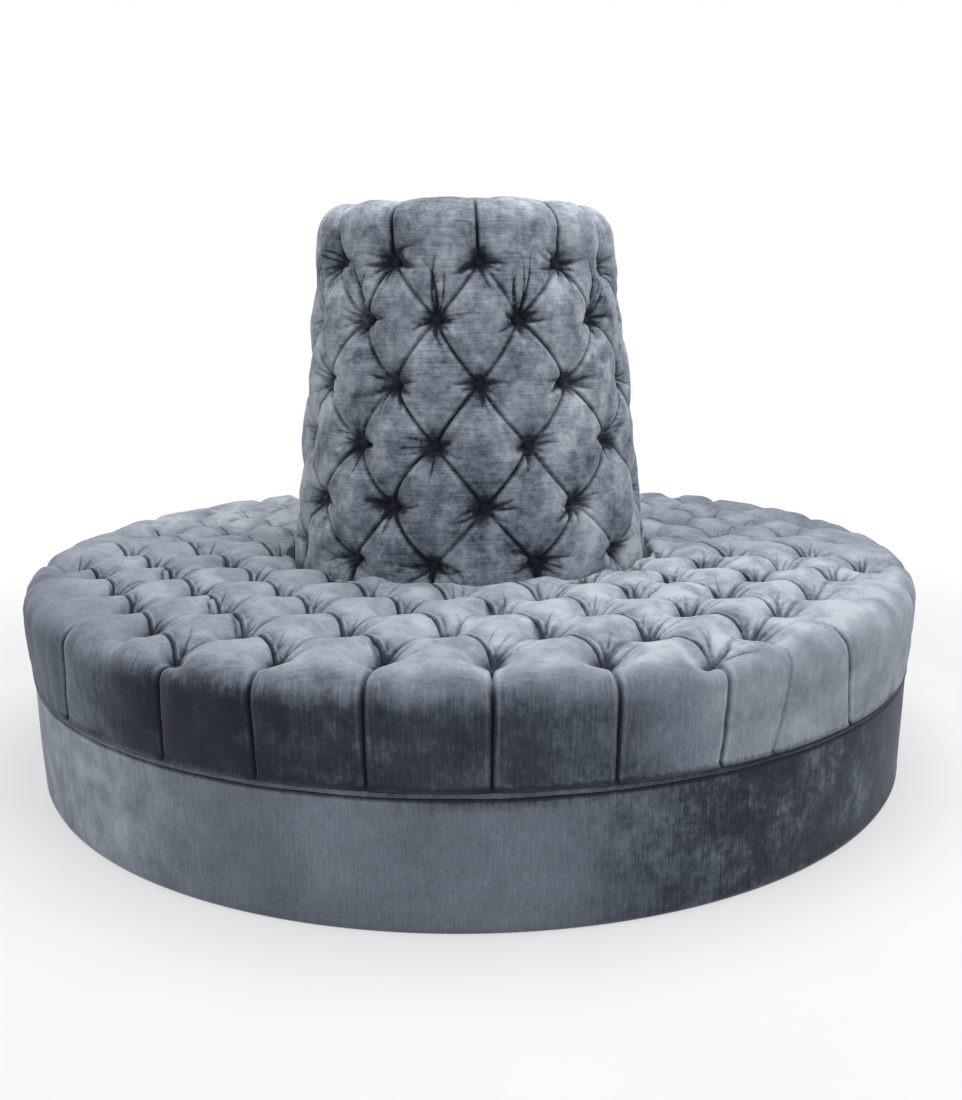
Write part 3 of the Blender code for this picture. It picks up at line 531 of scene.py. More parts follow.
def seat_folds(profile):
    """Folds, gathers and button places of one seat half, on its flattened sheet."""
    places = {}
    for row, (_, _, _, columns) in SEAT_ROWS.items():
        for column in columns:
            for sign in ((1,) if column == 0 else (-1, 1)):
                places[(row, sign * column)] = seat_place(row, sign * column)
    folds, gathers = [], []
    for (row, column), spot in places.items():
        for rise, side in ((-1, -0.5), (-1, 0.5), (1, -0.5), (1, 0.5)):
            other = (row + rise, column + side)
            look = "crisp" if rise * side > 0 else "soft"
            if other in places:
                if rise > 0:
                    continue
                sag, bow, slit, fade = SEAT_FOLDS[look]
                sag = np.clip(sag + rng.normal(0.0, 0.04), 0.1, 0.7)
                folds.append(Fold((spot, places[other]), (SEAT_PIT, SEAT_PIT * 0.85), look,
                                  FOLD_WIDTH, sag, bow + rng.normal(0.0, 0.002), slit, fade))
                continue
            aim = np.array((other[1] * TUFT_WIDTH, -other[0] * TUFT_ROW))
            if np.hypot(*aim) < WELL_RADIUS + WELL_ROUND or other[0] <= 0:
                look = look if rise < 0 else "soft"
                folds.append(Fold((spot, aim), fall(SEAT_PIT, LIP_DEPTH), look, FOLD_WIDTH,
                                  slit=LIP_SLIT * (look == "crisp"), fade=LIP_FADE))
    shoulder = SEAT_RADIUS - OUTER_ROUND * 0.5
    for row, column, edge_azimuth, foot_azimuth, strength in PLEATS:
        edge, foot = (np.array((sin(a), -cos(a)))
                      for a in (radians(edge_azimuth), radians(foot_azimuth)))
        middle = edge * 0.6 + foot * 0.4
        middle *= (shoulder + (profile.end - shoulder) * 0.5) / np.linalg.norm(middle)
        line = (places[(row, column)], edge * shoulder, middle, foot * (profile.end + MARGIN))
        top, end = PLEAT_EDGE_DEPTH * strength, PLEAT_FOOT_DEPTH * strength
        depths = (SEAT_PIT, SEAT_PIT * 0.5 + top * 0.4, top, top * 0.6 + end * 0.4,
                  (top + end) / 2, end * 1.4, end)
        pressed = strength > 0.7
        slit = PLEAT_SLIT * strength if pressed else SOFT_PLEAT_SLIT * (strength > 0.3)
        folds.append(Fold(line, depths, "even" if pressed else "soft", PLEAT_WIDTH, slit=slit,
                          fade=0.0))
    for spot in places.values():
        count = int(rng.integers(5, 7))
        for turn in np.linspace(24.0, 100.0, count) + rng.normal(0.0, 4.0, count):
            gathers.append(fan(spot, turn, *drawn(SEAT_GATHERS)))
        for turn in rng.uniform(150.0, 330.0, 3):
            gathers.append(fan(spot, turn, rng.uniform(0.03, 0.05), 0.0028, 0.007))
    return folds, gathers, list(places.values())


def thin_out(groups):
    """Points of the groups in order, less any too close to one that was kept before."""
    cell = 0.004
    grid = {}
    kept = []
    for points, spacing in groups:
        reach = ceil(spacing / cell)
        limit = spacing * spacing
        around = [(i, j) for i in range(-reach, reach + 1) for j in range(-reach, reach + 1)]
        for x, y in points:
            i, j = int(x // cell), int(y // cell)
            near = (p for di, dj in around for p in grid.get((i + di, j + dj), ()))
            if all((px - x) ** 2 + (py - y) ** 2 >= limit for px, py in near):
                grid.setdefault((i, j), []).append((x, y))
                kept.append((float(x), float(y)))
    return kept


def fold_points(folds, offsets, spacing):
    """Points on each crease and on lines beside it, one list for each offset."""
    return [[point for fold in folds for sign in ((0,) if offset == 0.0 else (-1, 1))
             for point in fold.places(spacing, offset * sign)] for offset in offsets]


def hex_points(low, high, spacing):
    rise = spacing * 0.866
    return [(low[0] + (i + 0.5 * (j % 2)) * spacing, low[1] + j * rise)
            for j in range(int((high[1] - low[1]) / rise) + 1)
            for i in range(int((high[0] - low[0]) / spacing) + 1)]


def tufted(outline, creases, gathers, buttons, box, inside, pit, funnel):
    """Faces and points of a flat sheet, and what its folds and buttons do to it.

    Its points are the outline's, then those of pits, creases, gathers and the field.
    """
    pits = [(x + ring * cos(a), y + ring * sin(a)) for x, y in buttons
            for ring, count in PIT_RINGS for a in round_turns(count)]
    rows = fold_points(creases, CREASE_OFFSETS, CREASE_STEP)
    fans = fold_points(gathers, GATHER_OFFSETS, GATHER_STEP)
    groups = [(pits, PIT_GAP), (rows[0], LINE_GAP)]
    groups += [(row, BESIDE_GAP) for row in rows[1:]] + [(row, PIT_GAP) for row in fans]
    groups.append((hex_points(*box, FIELD_STEP), FIELD_GAP))
    groups = [([p for p in points if inside(*p)], spacing) for points, spacing in groups]
    points = thin_out([(outline, 0.0)] + groups)
    made = delaunay_2d_cdt(points, [], [list(range(len(outline)))], 1, 1e-7)
    faces = [tuple(made[3][i][0] for i in face) for face in made[2]]
    flat = np.array(points)
    return faces, flat, carve(flat, creases + gathers, buttons, pit, funnel)


def added(verts, points):
    """Adds the points to the list and returns their numbers in it."""
    verts += points
    return list(range(len(verts) - len(points), len(verts)))


def bridge(rings, caps=False):
    """Faces between each ring of points and the next; a ring may be a single point."""
    faces = []
    for low, high in zip(rings, rings[1:]):
        count = max(len(low), len(high))
        for i in range(count):
            j = (i + 1) % count
            corners = (low[i % len(low)], low[j % len(low)],
                       high[j % len(high)], high[i % len(high)])
            faces.append(tuple(dict.fromkeys(corners)))
    return faces + ([tuple(rings[0]), tuple(rings[-1])] if caps else [])


def set_cloth(mesh, flat, wall=None, on_wall=None, span=None):
    """A UV map in metres, with the weft along U.

    Faces on the wall take the second map, and faces across a seam go on past its span.
    """
    layer = mesh.uv_layers.new(name="cloth")
    loops = np.zeros(len(mesh.loops), int)
    sizes = np.zeros(len(mesh.polygons), int)
    mesh.loops.foreach_get("vertex_index", loops)
    mesh.polygons.foreach_get("loop_total", sizes)
    owner = np.repeat(np.arange(len(sizes)), sizes)
    places = np.asarray(flat, float)[loops]
    if wall is not None:
        chosen = (np.bincount(owner, on_wall[loops]) / sizes)[owner] > 0.5
        places[chosen] = np.asarray(wall, float)[loops][chosen]
    if span is not None:
        most = np.zeros(len(sizes))
        np.maximum.at(most, owner, places[:, 0])
        places[(most[owner] > span * 0.75) & (places[:, 0] < span * 0.25), 0] += span
    layer.data.foreach_set("uv", places.astype(np.float32).ravel())


def link(name, mesh):
    piece = bpy.data.objects.new(name, mesh)
    bpy.context.scene.collection.objects.link(piece)
    return piece


def velvet_piece(name, verts, faces, flat, tone_and_painted_light, turn=0.0, **seams):
    """A closed velvet mesh with its faces turned outward, turned about the sofa's axis.

    Tone_and_painted_light gives at each point: the zone's tone with any painted sheen and painted
    shade, the painted shade of folds and pits with painted highlights on ridges, and how mottled
    it is.
    """
    mesh = bpy.data.meshes.new(name)
    mesh.from_pydata([tuple(float(c) for c in v) for v in verts], [], faces)
    bm = bmesh.new()
    bm.from_mesh(mesh)
    bmesh.ops.recalc_face_normals(bm, faces=bm.faces)
    bm.to_mesh(mesh)
    bm.free()
    mesh.shade_smooth()
    set_cloth(mesh, flat, **seams)
    layer = mesh.attributes.new("tone_and_painted_light", "FLOAT_VECTOR", "POINT")
    values = np.zeros((len(mesh.vertices), 3), np.float32)
    values[:, 0], values[:, 1], values[:, 2] = tone_and_painted_light
    layer.data.foreach_set("vector", values.ravel())
    mesh.transform(Matrix.Rotation(turn, 4, "Z"))
    return link(name, mesh)


def half_turns(radius, spacing, gap):
    """Turns round the front half, between points that lie the gap in from the split."""
    trim = asin(gap / radius)
    return np.linspace(pi + trim, tau - trim, int(pi * radius / spacing) + 1)


def seat_outline(profile):
    """Outline of the flattened half: boxing foot, right split, well foot, left split."""
    outer, inner = ([polar(radius, a) for a in half_turns(radius, spacing, FIT)]
                    for radius, spacing in ((profile.end, 0.007), (profile.start, 0.009)))
    inner = inner[::-1]
    count = int((profile.end - profile.start) / 0.006)
    steps = np.linspace(outer[-1][0], inner[0][0], count + 1)[1:-1]
    right = [(float(x), -FIT) for x in steps]
    left = [(-x, y) for x, y in right[::-1]]
    return outer + right + inner + left, len(outer), len(right), len(inner)


def front_share(azimuth):
    """1 where the photo shows the pile, fading to 0 at the split."""
    return 1.0 - smoothstep(np.abs(azimuth), 66.0, 88.0)


def zone(azimuth, middle, half):
    return np.exp(-(np.abs(azimuth - middle) / half) ** 4)


def seat_tones_and_painted_light(verts, radii):
    """Zones of the boxing, darker by azimuth and towards its foot, the top lightened with painted
    sheen and painted light, and how mottled they are.
    """
    azimuth, height = azimuths(verts), verts[:, 2]
    wall = smoothstep(radii, 0.905, 0.940)
    low = smoothstep(-height, -0.408, -0.350)
    lower = smoothstep(-height, -0.425, -0.370)
    # The boxing is darker at these azimuths and towards its foot, and lighter at the right
    left = 1.35 * zone(azimuth, -21.0, 22.0)
    far_left = 0.55 * smoothstep(-azimuth, 34.0, 50.0)
    middle = 0.74 * zone(azimuth, 6.0, 16.0)
    dark = wall * np.maximum(np.maximum(left * low, far_left * lower), middle * low)
    light = wall * smoothstep(azimuth, 22.0, 32.0) * 0.55
    # The top is lightened with painted sheen and painted light, more towards the right and less
    # at the left near its outer edge
    top = 0.64 + 0.42 * smoothstep(azimuth, -30.0, 45.0)
    top -= 0.50 * smoothstep(-azimuth, 18.0, 40.0) * smoothstep(radii, 0.76, 0.92)
    meet = front_share(azimuth)
    top = 0.60 + (top - 0.60) * meet
    dark = (np.clip(dark, 0.0, 1.35) - light) * meet + 0.1 * (1.0 - meet) * wall
    return dark - top * (1.0 - wall), 0.18 + 0.24 * wall * np.maximum(left, middle)


def base_tones_and_painted_shade(verts):
    """Zones of the base: lighter at the left, darker at the right, with painted shade under the
    cushion and its piping.
    """
    azimuth, height = azimuths(verts), np.array([v[2] for v in verts])
    dark = smoothstep(azimuth, 4.0, 34.0) * (0.80 + 0.20 * smoothstep(height, 0.05, 0.2))
    # Painted shade at the top of the base, under the cushion
    under = 0.5 * smoothstep(height, 0.198, 0.224) * smoothstep(azimuth, -7.0, 5.0)
    light = 0.66 * smoothstep(-azimuth, 18.0, 44.0)
    dark = unit(np.maximum(np.maximum(dark, under), 0.07))
    meet = front_share(azimuth)
    dark, light = dark * meet + 0.2 * (1.0 - meet), light * meet
    # Painted shade along the base's top edge, under the piping
    seam = 0.8 * smoothstep(height, base_high[2] - 0.006, base_high[2] - 0.001)
    return dark * 1.12 - light, seam, 0.10 + 0.64 * dark + light * 0.25


def on_surface(profile, turns, s, depths):
    """Position and outward normal of points at these depths."""
    r, z, nr, nz = profile.sunk(s, depths)
    return about_axis(r, turns, z), about_axis(nr, turns, nz)


def seat_sheet():
    """Points, faces and cloth of the front cushion cover, and its button places."""
    profile = seat_profile()
    creases, gathers, buttons = seat_folds(profile)
    outline, outer_count, right_count, inner_count = seat_outline(profile)

    def inside(x, y):
        return profile.start + MARGIN < hypot(x, y) < profile.end - MARGIN and y < -MARGIN

    box = ((-profile.end, -profile.end), (profile.end, 0.0))
    faces, flat, (depth, shift, shade) = tufted(outline, creases, gathers, buttons, box, inside,
                                                SEAT_PIT, SEAT_FUNNEL)
    moved = flat + shift * smoothstep(-flat[:, 1], FIT, 0.02)[:, None]
    turn, s = np.arctan2(moved[:, 1], moved[:, 0]), np.hypot(*moved.T)
    foot = smoothstep(profile.end - s, 0.0, 0.006) * smoothstep(s - profile.start, 0.0, 0.006)
    y = profile.sunk(s, 0.0)[0] * np.sin(turn)
    depth = depth * (0.2 + 0.8 * foot) + drop(-y - FIT, SPLIT_ROUND) * foot
    depth = np.maximum(depth, -0.002 * smoothstep(s, WELL_RADIUS, WELL_RADIUS + 0.05))
    r, z, _, _ = profile.sunk(s, depth)
    verts = about_axis(r, turn, z)
    corner = outer_count + right_count
    right = list(range(outer_count - 1, corner + 1))
    well = list(range(corner, corner + inner_count))
    left = list(range(well[-1], len(outline))) + [0]
    verts[right + left, 1] = -FIT
    bottom = list(range(outer_count)) + well
    verts[bottom, 2] = CUSHION_BASE
    faces += [tuple(right), tuple(left), tuple(bottom)]
    seams = {"wall": np.stack([s, turn * SEAT_RADIUS], axis=1),
             "on_wall": (s > SEAT_RADIUS - 0.005).astype(float)}
    dark, crush = seat_tones_and_painted_light(verts, r)
    # Painted shade along the cushion's foot, above the piping
    painted_hem_shade = smoothstep(-verts[:, 2], -CUSHION_BASE - 0.009, -CUSHION_BASE - 0.001)
    shade += 0.8 * painted_hem_shade * (r > 0.9)
    spots = np.array(buttons)
    carved = carve(spots, creases + gathers, buttons, SEAT_PIT, SEAT_FUNNEL)[0]
    places = on_surface(profile, np.arctan2(*spots.T[::-1]), np.hypot(*spots.T), carved)
    return (verts, faces, flat, (dark, shade, crush)), seams, places


def column_folds(profile):
    """Folds, gathers and button places of the column, on its unrolled sheet."""
    span = tau * UNROLL_RADIUS
    step = 360.0 / COLUMN_ROUND
    places = {}
    last = len(COLUMN_ROWS) - 1
    for row, (height, measured) in enumerate(COLUMN_ROWS):
        s = float(np.interp(height, profile.z[:SIDE_POINTS], profile.s[:SIDE_POINTS]))
        half = (last - row) % 2
        for n in range(COLUMN_ROUND):
            azimuth = COLUMN_PHASE + (n + 0.5 * half) * step
            azimuth -= 360.0 * (azimuth > 180.0)
            near = [a for a in measured if abs(a - azimuth) < step / 2]
            stray = rng.normal(0.0, JITTER * 1.3, 2)
            turn = radians(near[0] if near else azimuth) - pi / 2 - SEAM
            spot = np.array(((turn * UNROLL_RADIUS) % span, s))
            places[(row, (2 * n + half) % (2 * COLUMN_ROUND))] = spot if near else spot + stray

    folds, gathers = [], []
    for (row, k), spot in places.items():
        for side in (-1, 1):
            other = places.get((row + 1, (k + side) % (2 * COLUMN_ROUND)))
            if other is None:
                continue
            other = other + np.array((round((spot[0] - other[0]) / span) * span, 0.0))
            sag, bow = np.clip(rng.normal(0.40, 0.07), 0.25, 0.55), rng.normal(0.0, 0.005)
            folds.append(Fold((spot, other), (COLUMN_PIT, COLUMN_PIT), "even",
                              COLUMN_FOLD_WIDTH, sag, bow, slit=rng.uniform(0.003, 0.010)))
        if row in (0, last):
            end = profile.end + 0.002 if row else profile.start - 0.002
            aim = np.array((spot[0] + rng.normal(0.0, 0.004), end))
            folds.append(Fold((spot, aim), fall(COLUMN_PIT, 0.016), "even", RIM_FOLD_WIDTH,
                              bow=rng.normal(0.0, 0.003), slit=0.010, fade=0.0))
        if row == last - 1:
            for lean in (-13.0, -4.0, 4.0, 12.0):
                turn = 90.0 + lean + rng.normal(0.0, 2.0)
                gathers.append(fan(spot, turn, rng.uniform(0.080, 0.135), 0.0095, 0.0075))
        for middle, spread, most in COLUMN_SIDES:
            count = int(rng.integers(most - 2, most + 1))
            for turn in middle + rng.uniform(-spread, spread, count):
                gathers.append(fan(spot, turn, *drawn(COLUMN_GATHERS)))
    return folds, gathers, list(places.values()), span


def past_seam(folds, span):
    """The folds, and copies of those near the seam on its other side."""
    found = list(folds)
    for fold in folds:
        for by in (-span, span):
            ends = (fold.line[0, 0] + by, fold.line[-1, 0] + by)
            if min(ends) < span + SEAM_MARGIN and max(ends) > -SEAM_MARGIN:
                found.append(fold.moved(np.array((by, 0.0))))
    return found


def head_shift(turns, head):
    """How far the column's head bulges out, and up on its left."""
    return head * (HEAD_SWELL - HEAD_LEAN * np.cos(turns)), -head * HEAD_LEAN * np.cos(turns)


def build_column():
    """The column's tufted cover with its rim, as one closed mesh, and its button places."""
    profile = column_profile()
    creases, gathers, buttons, span = column_folds(profile)
    creases, gathers = past_seam(creases, span), past_seam(gathers, span)
    around = COLUMN_ROUND * 24
    length = profile.end - profile.start
    levels = int(length / 0.006)
    up = [profile.start + length * i / levels for i in range(1, levels)]
    outline = [(span * i / around, profile.start) for i in range(around + 1)]
    outline += [(span, s) for s in up]
    outline += [(span * i / around, profile.end) for i in range(around, -1, -1)]
    outline += [(0.0, s) for s in up[::-1]]
    spread = [b + np.array((by, 0.0)) for b in buttons for by in (-span, 0.0, span)]
    spread = [b for b in spread if -0.06 < b[0] < span + 0.06]

    def inside(u, s):
        return MARGIN < u < span - MARGIN and profile.start + MARGIN < s < profile.end - MARGIN

    box = ((0.0, profile.start), (span, profile.end))
    faces, flat, (depth, _, shade) = tufted(outline, creases, gathers, spread, box, inside,
                                            COLUMN_PIT, COLUMN_FUNNEL)
    u, s = flat.T
    foot = smoothstep(s - profile.start, 0.11, 0.20)
    rim = smoothstep(profile.end - s, 0.0, 0.05)
    depth = np.clip(depth, -0.002, COLUMN_DEEPEST) * (0.4 + 0.6 * foot) * (0.5 + 0.5 * rim)
    turns = u / UNROLL_RADIUS + SEAM
    r, z, _, _ = profile.sunk(s, depth)
    out, rise = head_shift(turns, smoothstep(z, HEAD_START, HEAD_END) * rim)
    r, z = r + out, z + rise
    r[s >= profile.end - 1e-9] = RIM_RADIUS
    z[s <= profile.start + 1e-9] = COLUMN_FOOT
    verts, flat, shade = list(about_axis(r, turns, z)), list(flat), list(shade)

    # Points of the outline's right edge are welded to those of its left, and the lining
    # closes the cover from its foot to its rim
    corner = around + 1 + len(up)
    left_edge = [0, *range(corner + around + len(up), corner + around - 1, -1)]
    seam = dict(zip(range(around, corner + 1), left_edge))
    rings = [list(range(around))]
    for radius, height in LINING:
        rings.append(added(verts, [polar(radius, a, height) for a in round_turns(around, SEAM)]))
        flat += [(span * i / around, height - 1.5) for i in range(around)]
        shade += [0.0] * around
    rings.append([corner + around - i for i in range(around)])
    welded = [tuple(seam.get(i, i) for i in face) for face in faces + bridge(rings)]
    used = sorted({i for face in welded for i in face})
    index = {old: new for new, old in enumerate(used)}
    verts = [verts[i] for i in used]
    # The column is lightened all over, and more on its sides as painted sheen
    tone_and_painted_sheen = -0.20 - 0.46 * smoothstep(np.abs(azimuths(verts)), 14.0, 52.0)
    cover = velvet_piece("column_tufted_cover", verts,
                         [tuple(index[i] for i in face) for face in welded],
                         [flat[i] for i in used], (tone_and_painted_sheen, np.array(shade)[used], 0.75), span=span)

    spots = np.array(buttons)
    turns = spots[:, 0] / UNROLL_RADIUS + SEAM
    carved = carve(spots, creases + gathers, spread, COLUMN_PIT, COLUMN_FUNNEL)[0]
    centres, normals = on_surface(profile, turns, spots[:, 1], np.minimum(carved, BUTTON_DEEPEST))
    out, rise = head_shift(turns, smoothstep(centres[:, 2], HEAD_START, HEAD_END))
    return cover, (centres + about_axis(out, turns, rise), normals)


def build_cap():
    """The padded cap: a dome gathered to a button in its middle."""
    radius, edge, bead, steps = CAP_RADIUS - 0.001, COLUMN_TOP - 0.018, 0.010, 26
    line = [(radius, CAP_FOOT + 0.0004), (radius, edge - bead)]
    line += [(radius - bead * (1.0 - cos(a)), edge - bead + bead * sin(a)) for a in quarter(5)]
    for i in range(1, steps):
        share = 1.0 - i / steps
        line.append(((radius - bead) * share,
                     edge + (COLUMN_TOP - edge - 0.0005) * (1 - share * share)))
    verts, rings = [], []
    for r, z in line:
        ring = []
        for a in round_turns(112):
            dip = 0.010 * bell(r, 0.022)
            if z > edge - 0.002:
                pleat = abs(sin(a * COLUMN_ROUND / 2 + 0.4))
                dip += 0.0045 * (1.0 - pleat) ** 2 * sin(pi * min(r / radius, 0.98)) ** 0.6
            ring.append(polar(r, a, z - dip))
        rings.append(added(verts, ring))
    rings.append(added(verts, [(0.0, 0.0, COLUMN_TOP - 0.0105)]))
    faces = bridge(rings) + [tuple(rings[0][::-1])]
    return velvet_piece("column_padded_cap", verts, faces, [v[:2] for v in verts],
                        (0.0, 0.0, 0.5))


def build_buttons(name, centres, normals):
    """Covered buttons: domed, with the cloth drawn under their edge."""
    line = ((0.0, 0.0052), (0.0032, 0.0049), (0.0060, 0.0040), (0.0084, 0.0024),
            (0.0100, 0.0004), (BUTTON_RADIUS, -0.0016), (0.0098, -0.0034), (0.0, -0.0040))
    verts, faces, flat = [], [], []
    for centre, normal in zip(centres, normals):
        facing = Vector(normal).to_track_quat("Z", "Y").to_matrix()
        spin = rng.uniform(0.0, tau)
        lift = np.array(normal) * 0.0004
        first = len(verts)
        rings = []
        for r, z in line:
            ring = []
            for a in round_turns(18 if r else 1, spin):
                pucker = 1.0 + 0.03 * sin(6 * a) * (r / BUTTON_RADIUS) ** 2
                local = Vector(polar(r * pucker, a, z))
                ring.append(tuple(np.array(facing @ local) + centre + lift))
                flat.append((r * cos(a) + 0.1 * first, r * sin(a)))
            rings.append(added(verts, ring))
        faces += bridge(rings)
    # The buttons are darker, with painted shade as of their deep pits
    return velvet_piece(name, verts, faces, flat, (0.4, 0.95, 0.3))


def swept(name, turn, radius, spacing, section, tone_and_painted_light):
    """A closed piece swept round its half, from sections of radius, height, U and V."""
    turns = half_turns(radius, spacing, BASE_END)
    verts, flat, rings = [], [], []
    for a in turns:
        ring = section(a, min(a - turns[0], turns[-1] - a) * radius)
        rings.append(added(verts, [polar(r, a, z) for r, z, _, _ in ring]))
        flat += [place[2:] for place in ring]
    return velvet_piece(name, verts, bridge(rings, caps=True), flat, tone_and_painted_light(verts), turn)


def base_section(a, end):
    """The plain upright cover of the base: hemmed and slightly slack."""
    ring = []
    for share in np.linspace(0.0, 1.0, 30):
        z = base_low[2] + (base_high[2] - base_low[2]) * share
        r = BASE_RADIUS + BASE_SLACK * share ** 0.5 - HEM_TUCK * (1.0 - share) ** 2
        for depth, waves, phase, skew in BASE_SWAYS:
            r += depth * sin(waves * a + phase + skew * share) * sin(pi * share)
        r += HEM_ROLL * bell(share - 0.05, 0.03) - 0.0004
        r -= drop(end, 0.0030) + drop(z - base_low[2], 0.0020)
        ring.append((r, z, z, a * BASE_RADIUS))
    return ring + [(BASE_RADIUS - BASE_THICKNESS, z, z, a * BASE_RADIUS)
                   for z in (base_high[2], base_low[2])]


def welt_section(a, end):
    """The piping: a cord in bias-cut cloth with its slight puckers."""
    size = WELT_RADIUS * sqrt(max(1.0 - (1.0 - min(end / 0.004, 1.0)) ** 2, 0.09))
    size *= 1.0 + 0.025 * sin(260.0 * a) + 0.03 * sin(47.0 * a + 1.0)
    ring = []
    for i, b in enumerate(round_turns(14)):
        pucker = size * (1.0 + 0.02 * sin(3.0 * b + 180.0 * a))
        ring.append((WELT_LINE + pucker * cos(b),
                     WELT_HEIGHT + pucker * sin(b) + 0.0004 * sin(31.0 * a),
                     a * WELT_LINE + i * 0.0022, i * 0.0022 - a * WELT_LINE))
    return ring


def welt_tones(verts):
    # The piping is darker towards the right
    return 0.30 + 0.75 * smoothstep(azimuths(verts), 8.0, 34.0), 0.1, 0.3


def node(tree, kind, inputs=None, **settings):
    """A shader node with its settings, and its inputs linked or set."""
    made = tree.nodes.new("ShaderNode" + kind)
    for key, value in settings.items():
        setattr(made, key, value)
    for key, value in (inputs or {}).items():
        if isinstance(value, bpy.types.NodeSocket):
            tree.links.new(value, made.inputs[key])
        else:
            made.inputs[key].default_value = value
    return made


def maths(tree, operation, first, second=0.0, third=0.0):
    made = node(tree, "Math", {0: first, 1: second, 2: third}, operation=operation)
    return made.outputs[0]


def scaled(tree, value, gain, offset):
    return maths(tree, "MULTIPLY_ADD", value, gain, offset)


def mixed(tree, value, parts):
    """The value with each part added, centred on nought and scaled by its gain."""
    for part, gain in parts:
        value = maths(tree, "ADD", value, scaled(tree, part, gain, -gain / 2))
    return value


def paint(tree, bsdf, factor, colours, places=(0.2, 0.5, 0.8)):
    """The shader's colour, blended between these by the factor."""
    made = node(tree, "ValToRGB", {"Fac": factor})
    elements = made.color_ramp.elements
    while len(elements) < len(colours):
        elements.new(0.5)
    for element, place, colour in zip(elements, places, colours):
        element.position = place
        element.color = (*colour, 1.0)
    tree.links.new(made.outputs["Color"], bsdf.inputs["Base Color"])


def noise(tree, vector, scale, detail=3.0, roughness=0.55):
    """Noise at one scale, or stretched to a scale along each axis."""
    if isinstance(scale, tuple):
        vector = node(tree, "Mapping", {"Vector": vector, "Scale": scale}).outputs["Vector"]
        scale = 1.0
    made = node(tree, "TexNoise", {"Vector": vector, "Scale": scale, "Detail": detail,
                                   "Roughness": roughness})
    return made.outputs["Fac"]


def shader(name, roughness, specular, inputs=None):
    """A material with its tree, its principled shader and the object's coordinates."""
    material = bpy.data.materials.new(name)
    material.use_nodes = True
    tree = material.node_tree
    tree.nodes.clear()
    bsdf = node(tree, "BsdfPrincipled", {"Roughness": roughness, "Specular IOR Level": specular,
                                         **(inputs or {})})
    node(tree, "OutputMaterial", {"Surface": bsdf.outputs["BSDF"]})
    return material, tree, bsdf, node(tree, "TexCoord").outputs["Object"]


def bump(tree, bsdf, height, distance, strength):
    made = node(tree, "Bump", {"Height": height, "Distance": distance, "Strength": strength})
    tree.links.new(made.outputs["Normal"], bsdf.inputs["Normal"])


def velvet():
    """Slate chenille velvet: slubs along the weft, mottling, zones with painted sheen and painted
    shade, and painted shade in folds and pits.
    """
    material, tree, bsdf, place = shader("slate_velvet", 0.8, 0.25, {
        "Sheen Weight": 0.35, "Sheen Roughness": 0.40, "Sheen Tint": (0.72, 0.79, 0.88, 1.0)})
    cloth = node(tree, "UVMap", uv_map="cloth").outputs["UV"]
    tone_and_painted_light = node(tree, "Attribute", attribute_name="tone_and_painted_light").outputs["Vector"]
    zones_and_painted_light, shade, crushing = node(tree, "SeparateXYZ", {"Vector": tone_and_painted_light}).outputs
    slubs = noise(tree, cloth, (52.0, 560.0, 1.0), 3.0, 0.6)
    yarns = noise(tree, cloth, (16.0, 230.0, 1.0), 2.0, 0.5)
    warps = noise(tree, cloth, (800.0, 90.0, 1.0), 2.0, 0.5)
    broad = noise(tree, place, 4.5, 2.0, 0.5)
    patches = noise(tree, place, 17.0, 4.0, 0.62)
    crush = noise(tree, place, 70.0, 3.0, 0.6)
    fuzz = noise(tree, place, 900.0, 2.0, 0.6)
    value = mixed(tree, 0.5, ((slubs, 0.28), (yarns, 0.10), (warps, 0.26), (broad, 0.26)))
    mottle = mixed(tree, 0.0, ((patches, 1.45), (crush, 0.85), (yarns, 0.45), (broad, 0.6)))
    value = scaled(tree, mottle, crushing, value)
    # The edge of each zone, with its painted sheen and painted shade, is ragged, and its middle
    # even
    ragged = scaled(tree, patches, 1.5, -0.75)
    edge = maths(tree, "MULTIPLY", ragged, scaled(tree, zones_and_painted_light, -1.0, 1.0))
    value = scaled(tree, scaled(tree, edge, zones_and_painted_light, zones_and_painted_light), -0.36, value)
    # Painted shade in folds and pits darkens the colour; below nought it is a painted highlight
    paint(tree, bsdf, scaled(tree, shade, -0.58, value),
          ((0.009, 0.012, 0.020), (0.035, 0.043, 0.062), (0.160, 0.187, 0.227),
           (0.300, 0.337, 0.385), (0.470, 0.510, 0.555)), (0.0, 0.2, 0.5, 0.75, 1.0))
    tree.links.new(scaled(tree, crush, 0.2, 0.70), bsdf.inputs["Roughness"])
    height = scaled(tree, slubs, 0.6, maths(tree, "MULTIPLY", fuzz, 0.3))
    bump(tree, bsdf, scaled(tree, yarns, 0.5, height), 0.0010, 0.45)
    return material


def grained(name, colours, scale, fine, roughness):
    """Wood or board: long grain in the first scale, fine fibres in the second."""
    material, tree, bsdf, place = shader(name, roughness, 0.3)
    grain = noise(tree, place, scale, 5.0, 0.6)
    fibres = noise(tree, place, fine, 2.0, 0.5)
    value = scaled(tree, fibres, 0.35, maths(tree, "MULTIPLY", grain, 0.75))
    paint(tree, bsdf, value, colours)
    bump(tree, bsdf, value, 0.0004, 0.4)
    return material


def speckled(name, colours, scale, roughness, metallic=0.0, distance=0.0003, pores=False):
    """Foam, cloth, plastic or plated steel: an even field of specks."""
    material, tree, bsdf, place = shader(name, roughness, 0.4, {"Metallic": metallic})
    specks = noise(tree, place, scale, 4.0, 0.65)
    if pores:
        cells = node(tree, "TexVoronoi", {"Vector": place, "Scale": scale}).outputs["Distance"]
        specks = scaled(tree, cells, 0.7, maths(tree, "MULTIPLY", specks, 0.5))
    broad = noise(tree, place, scale * 0.04, 3.0, 0.5)
    value = scaled(tree, broad, 0.4, maths(tree, "MULTIPLY", specks, 0.6))
    paint(tree, bsdf, value, colours, (0.1, 0.5, 0.9) if pores else (0.2, 0.5, 0.8))
    bump(tree, bsdf, specks, distance, 0.5)
    return material


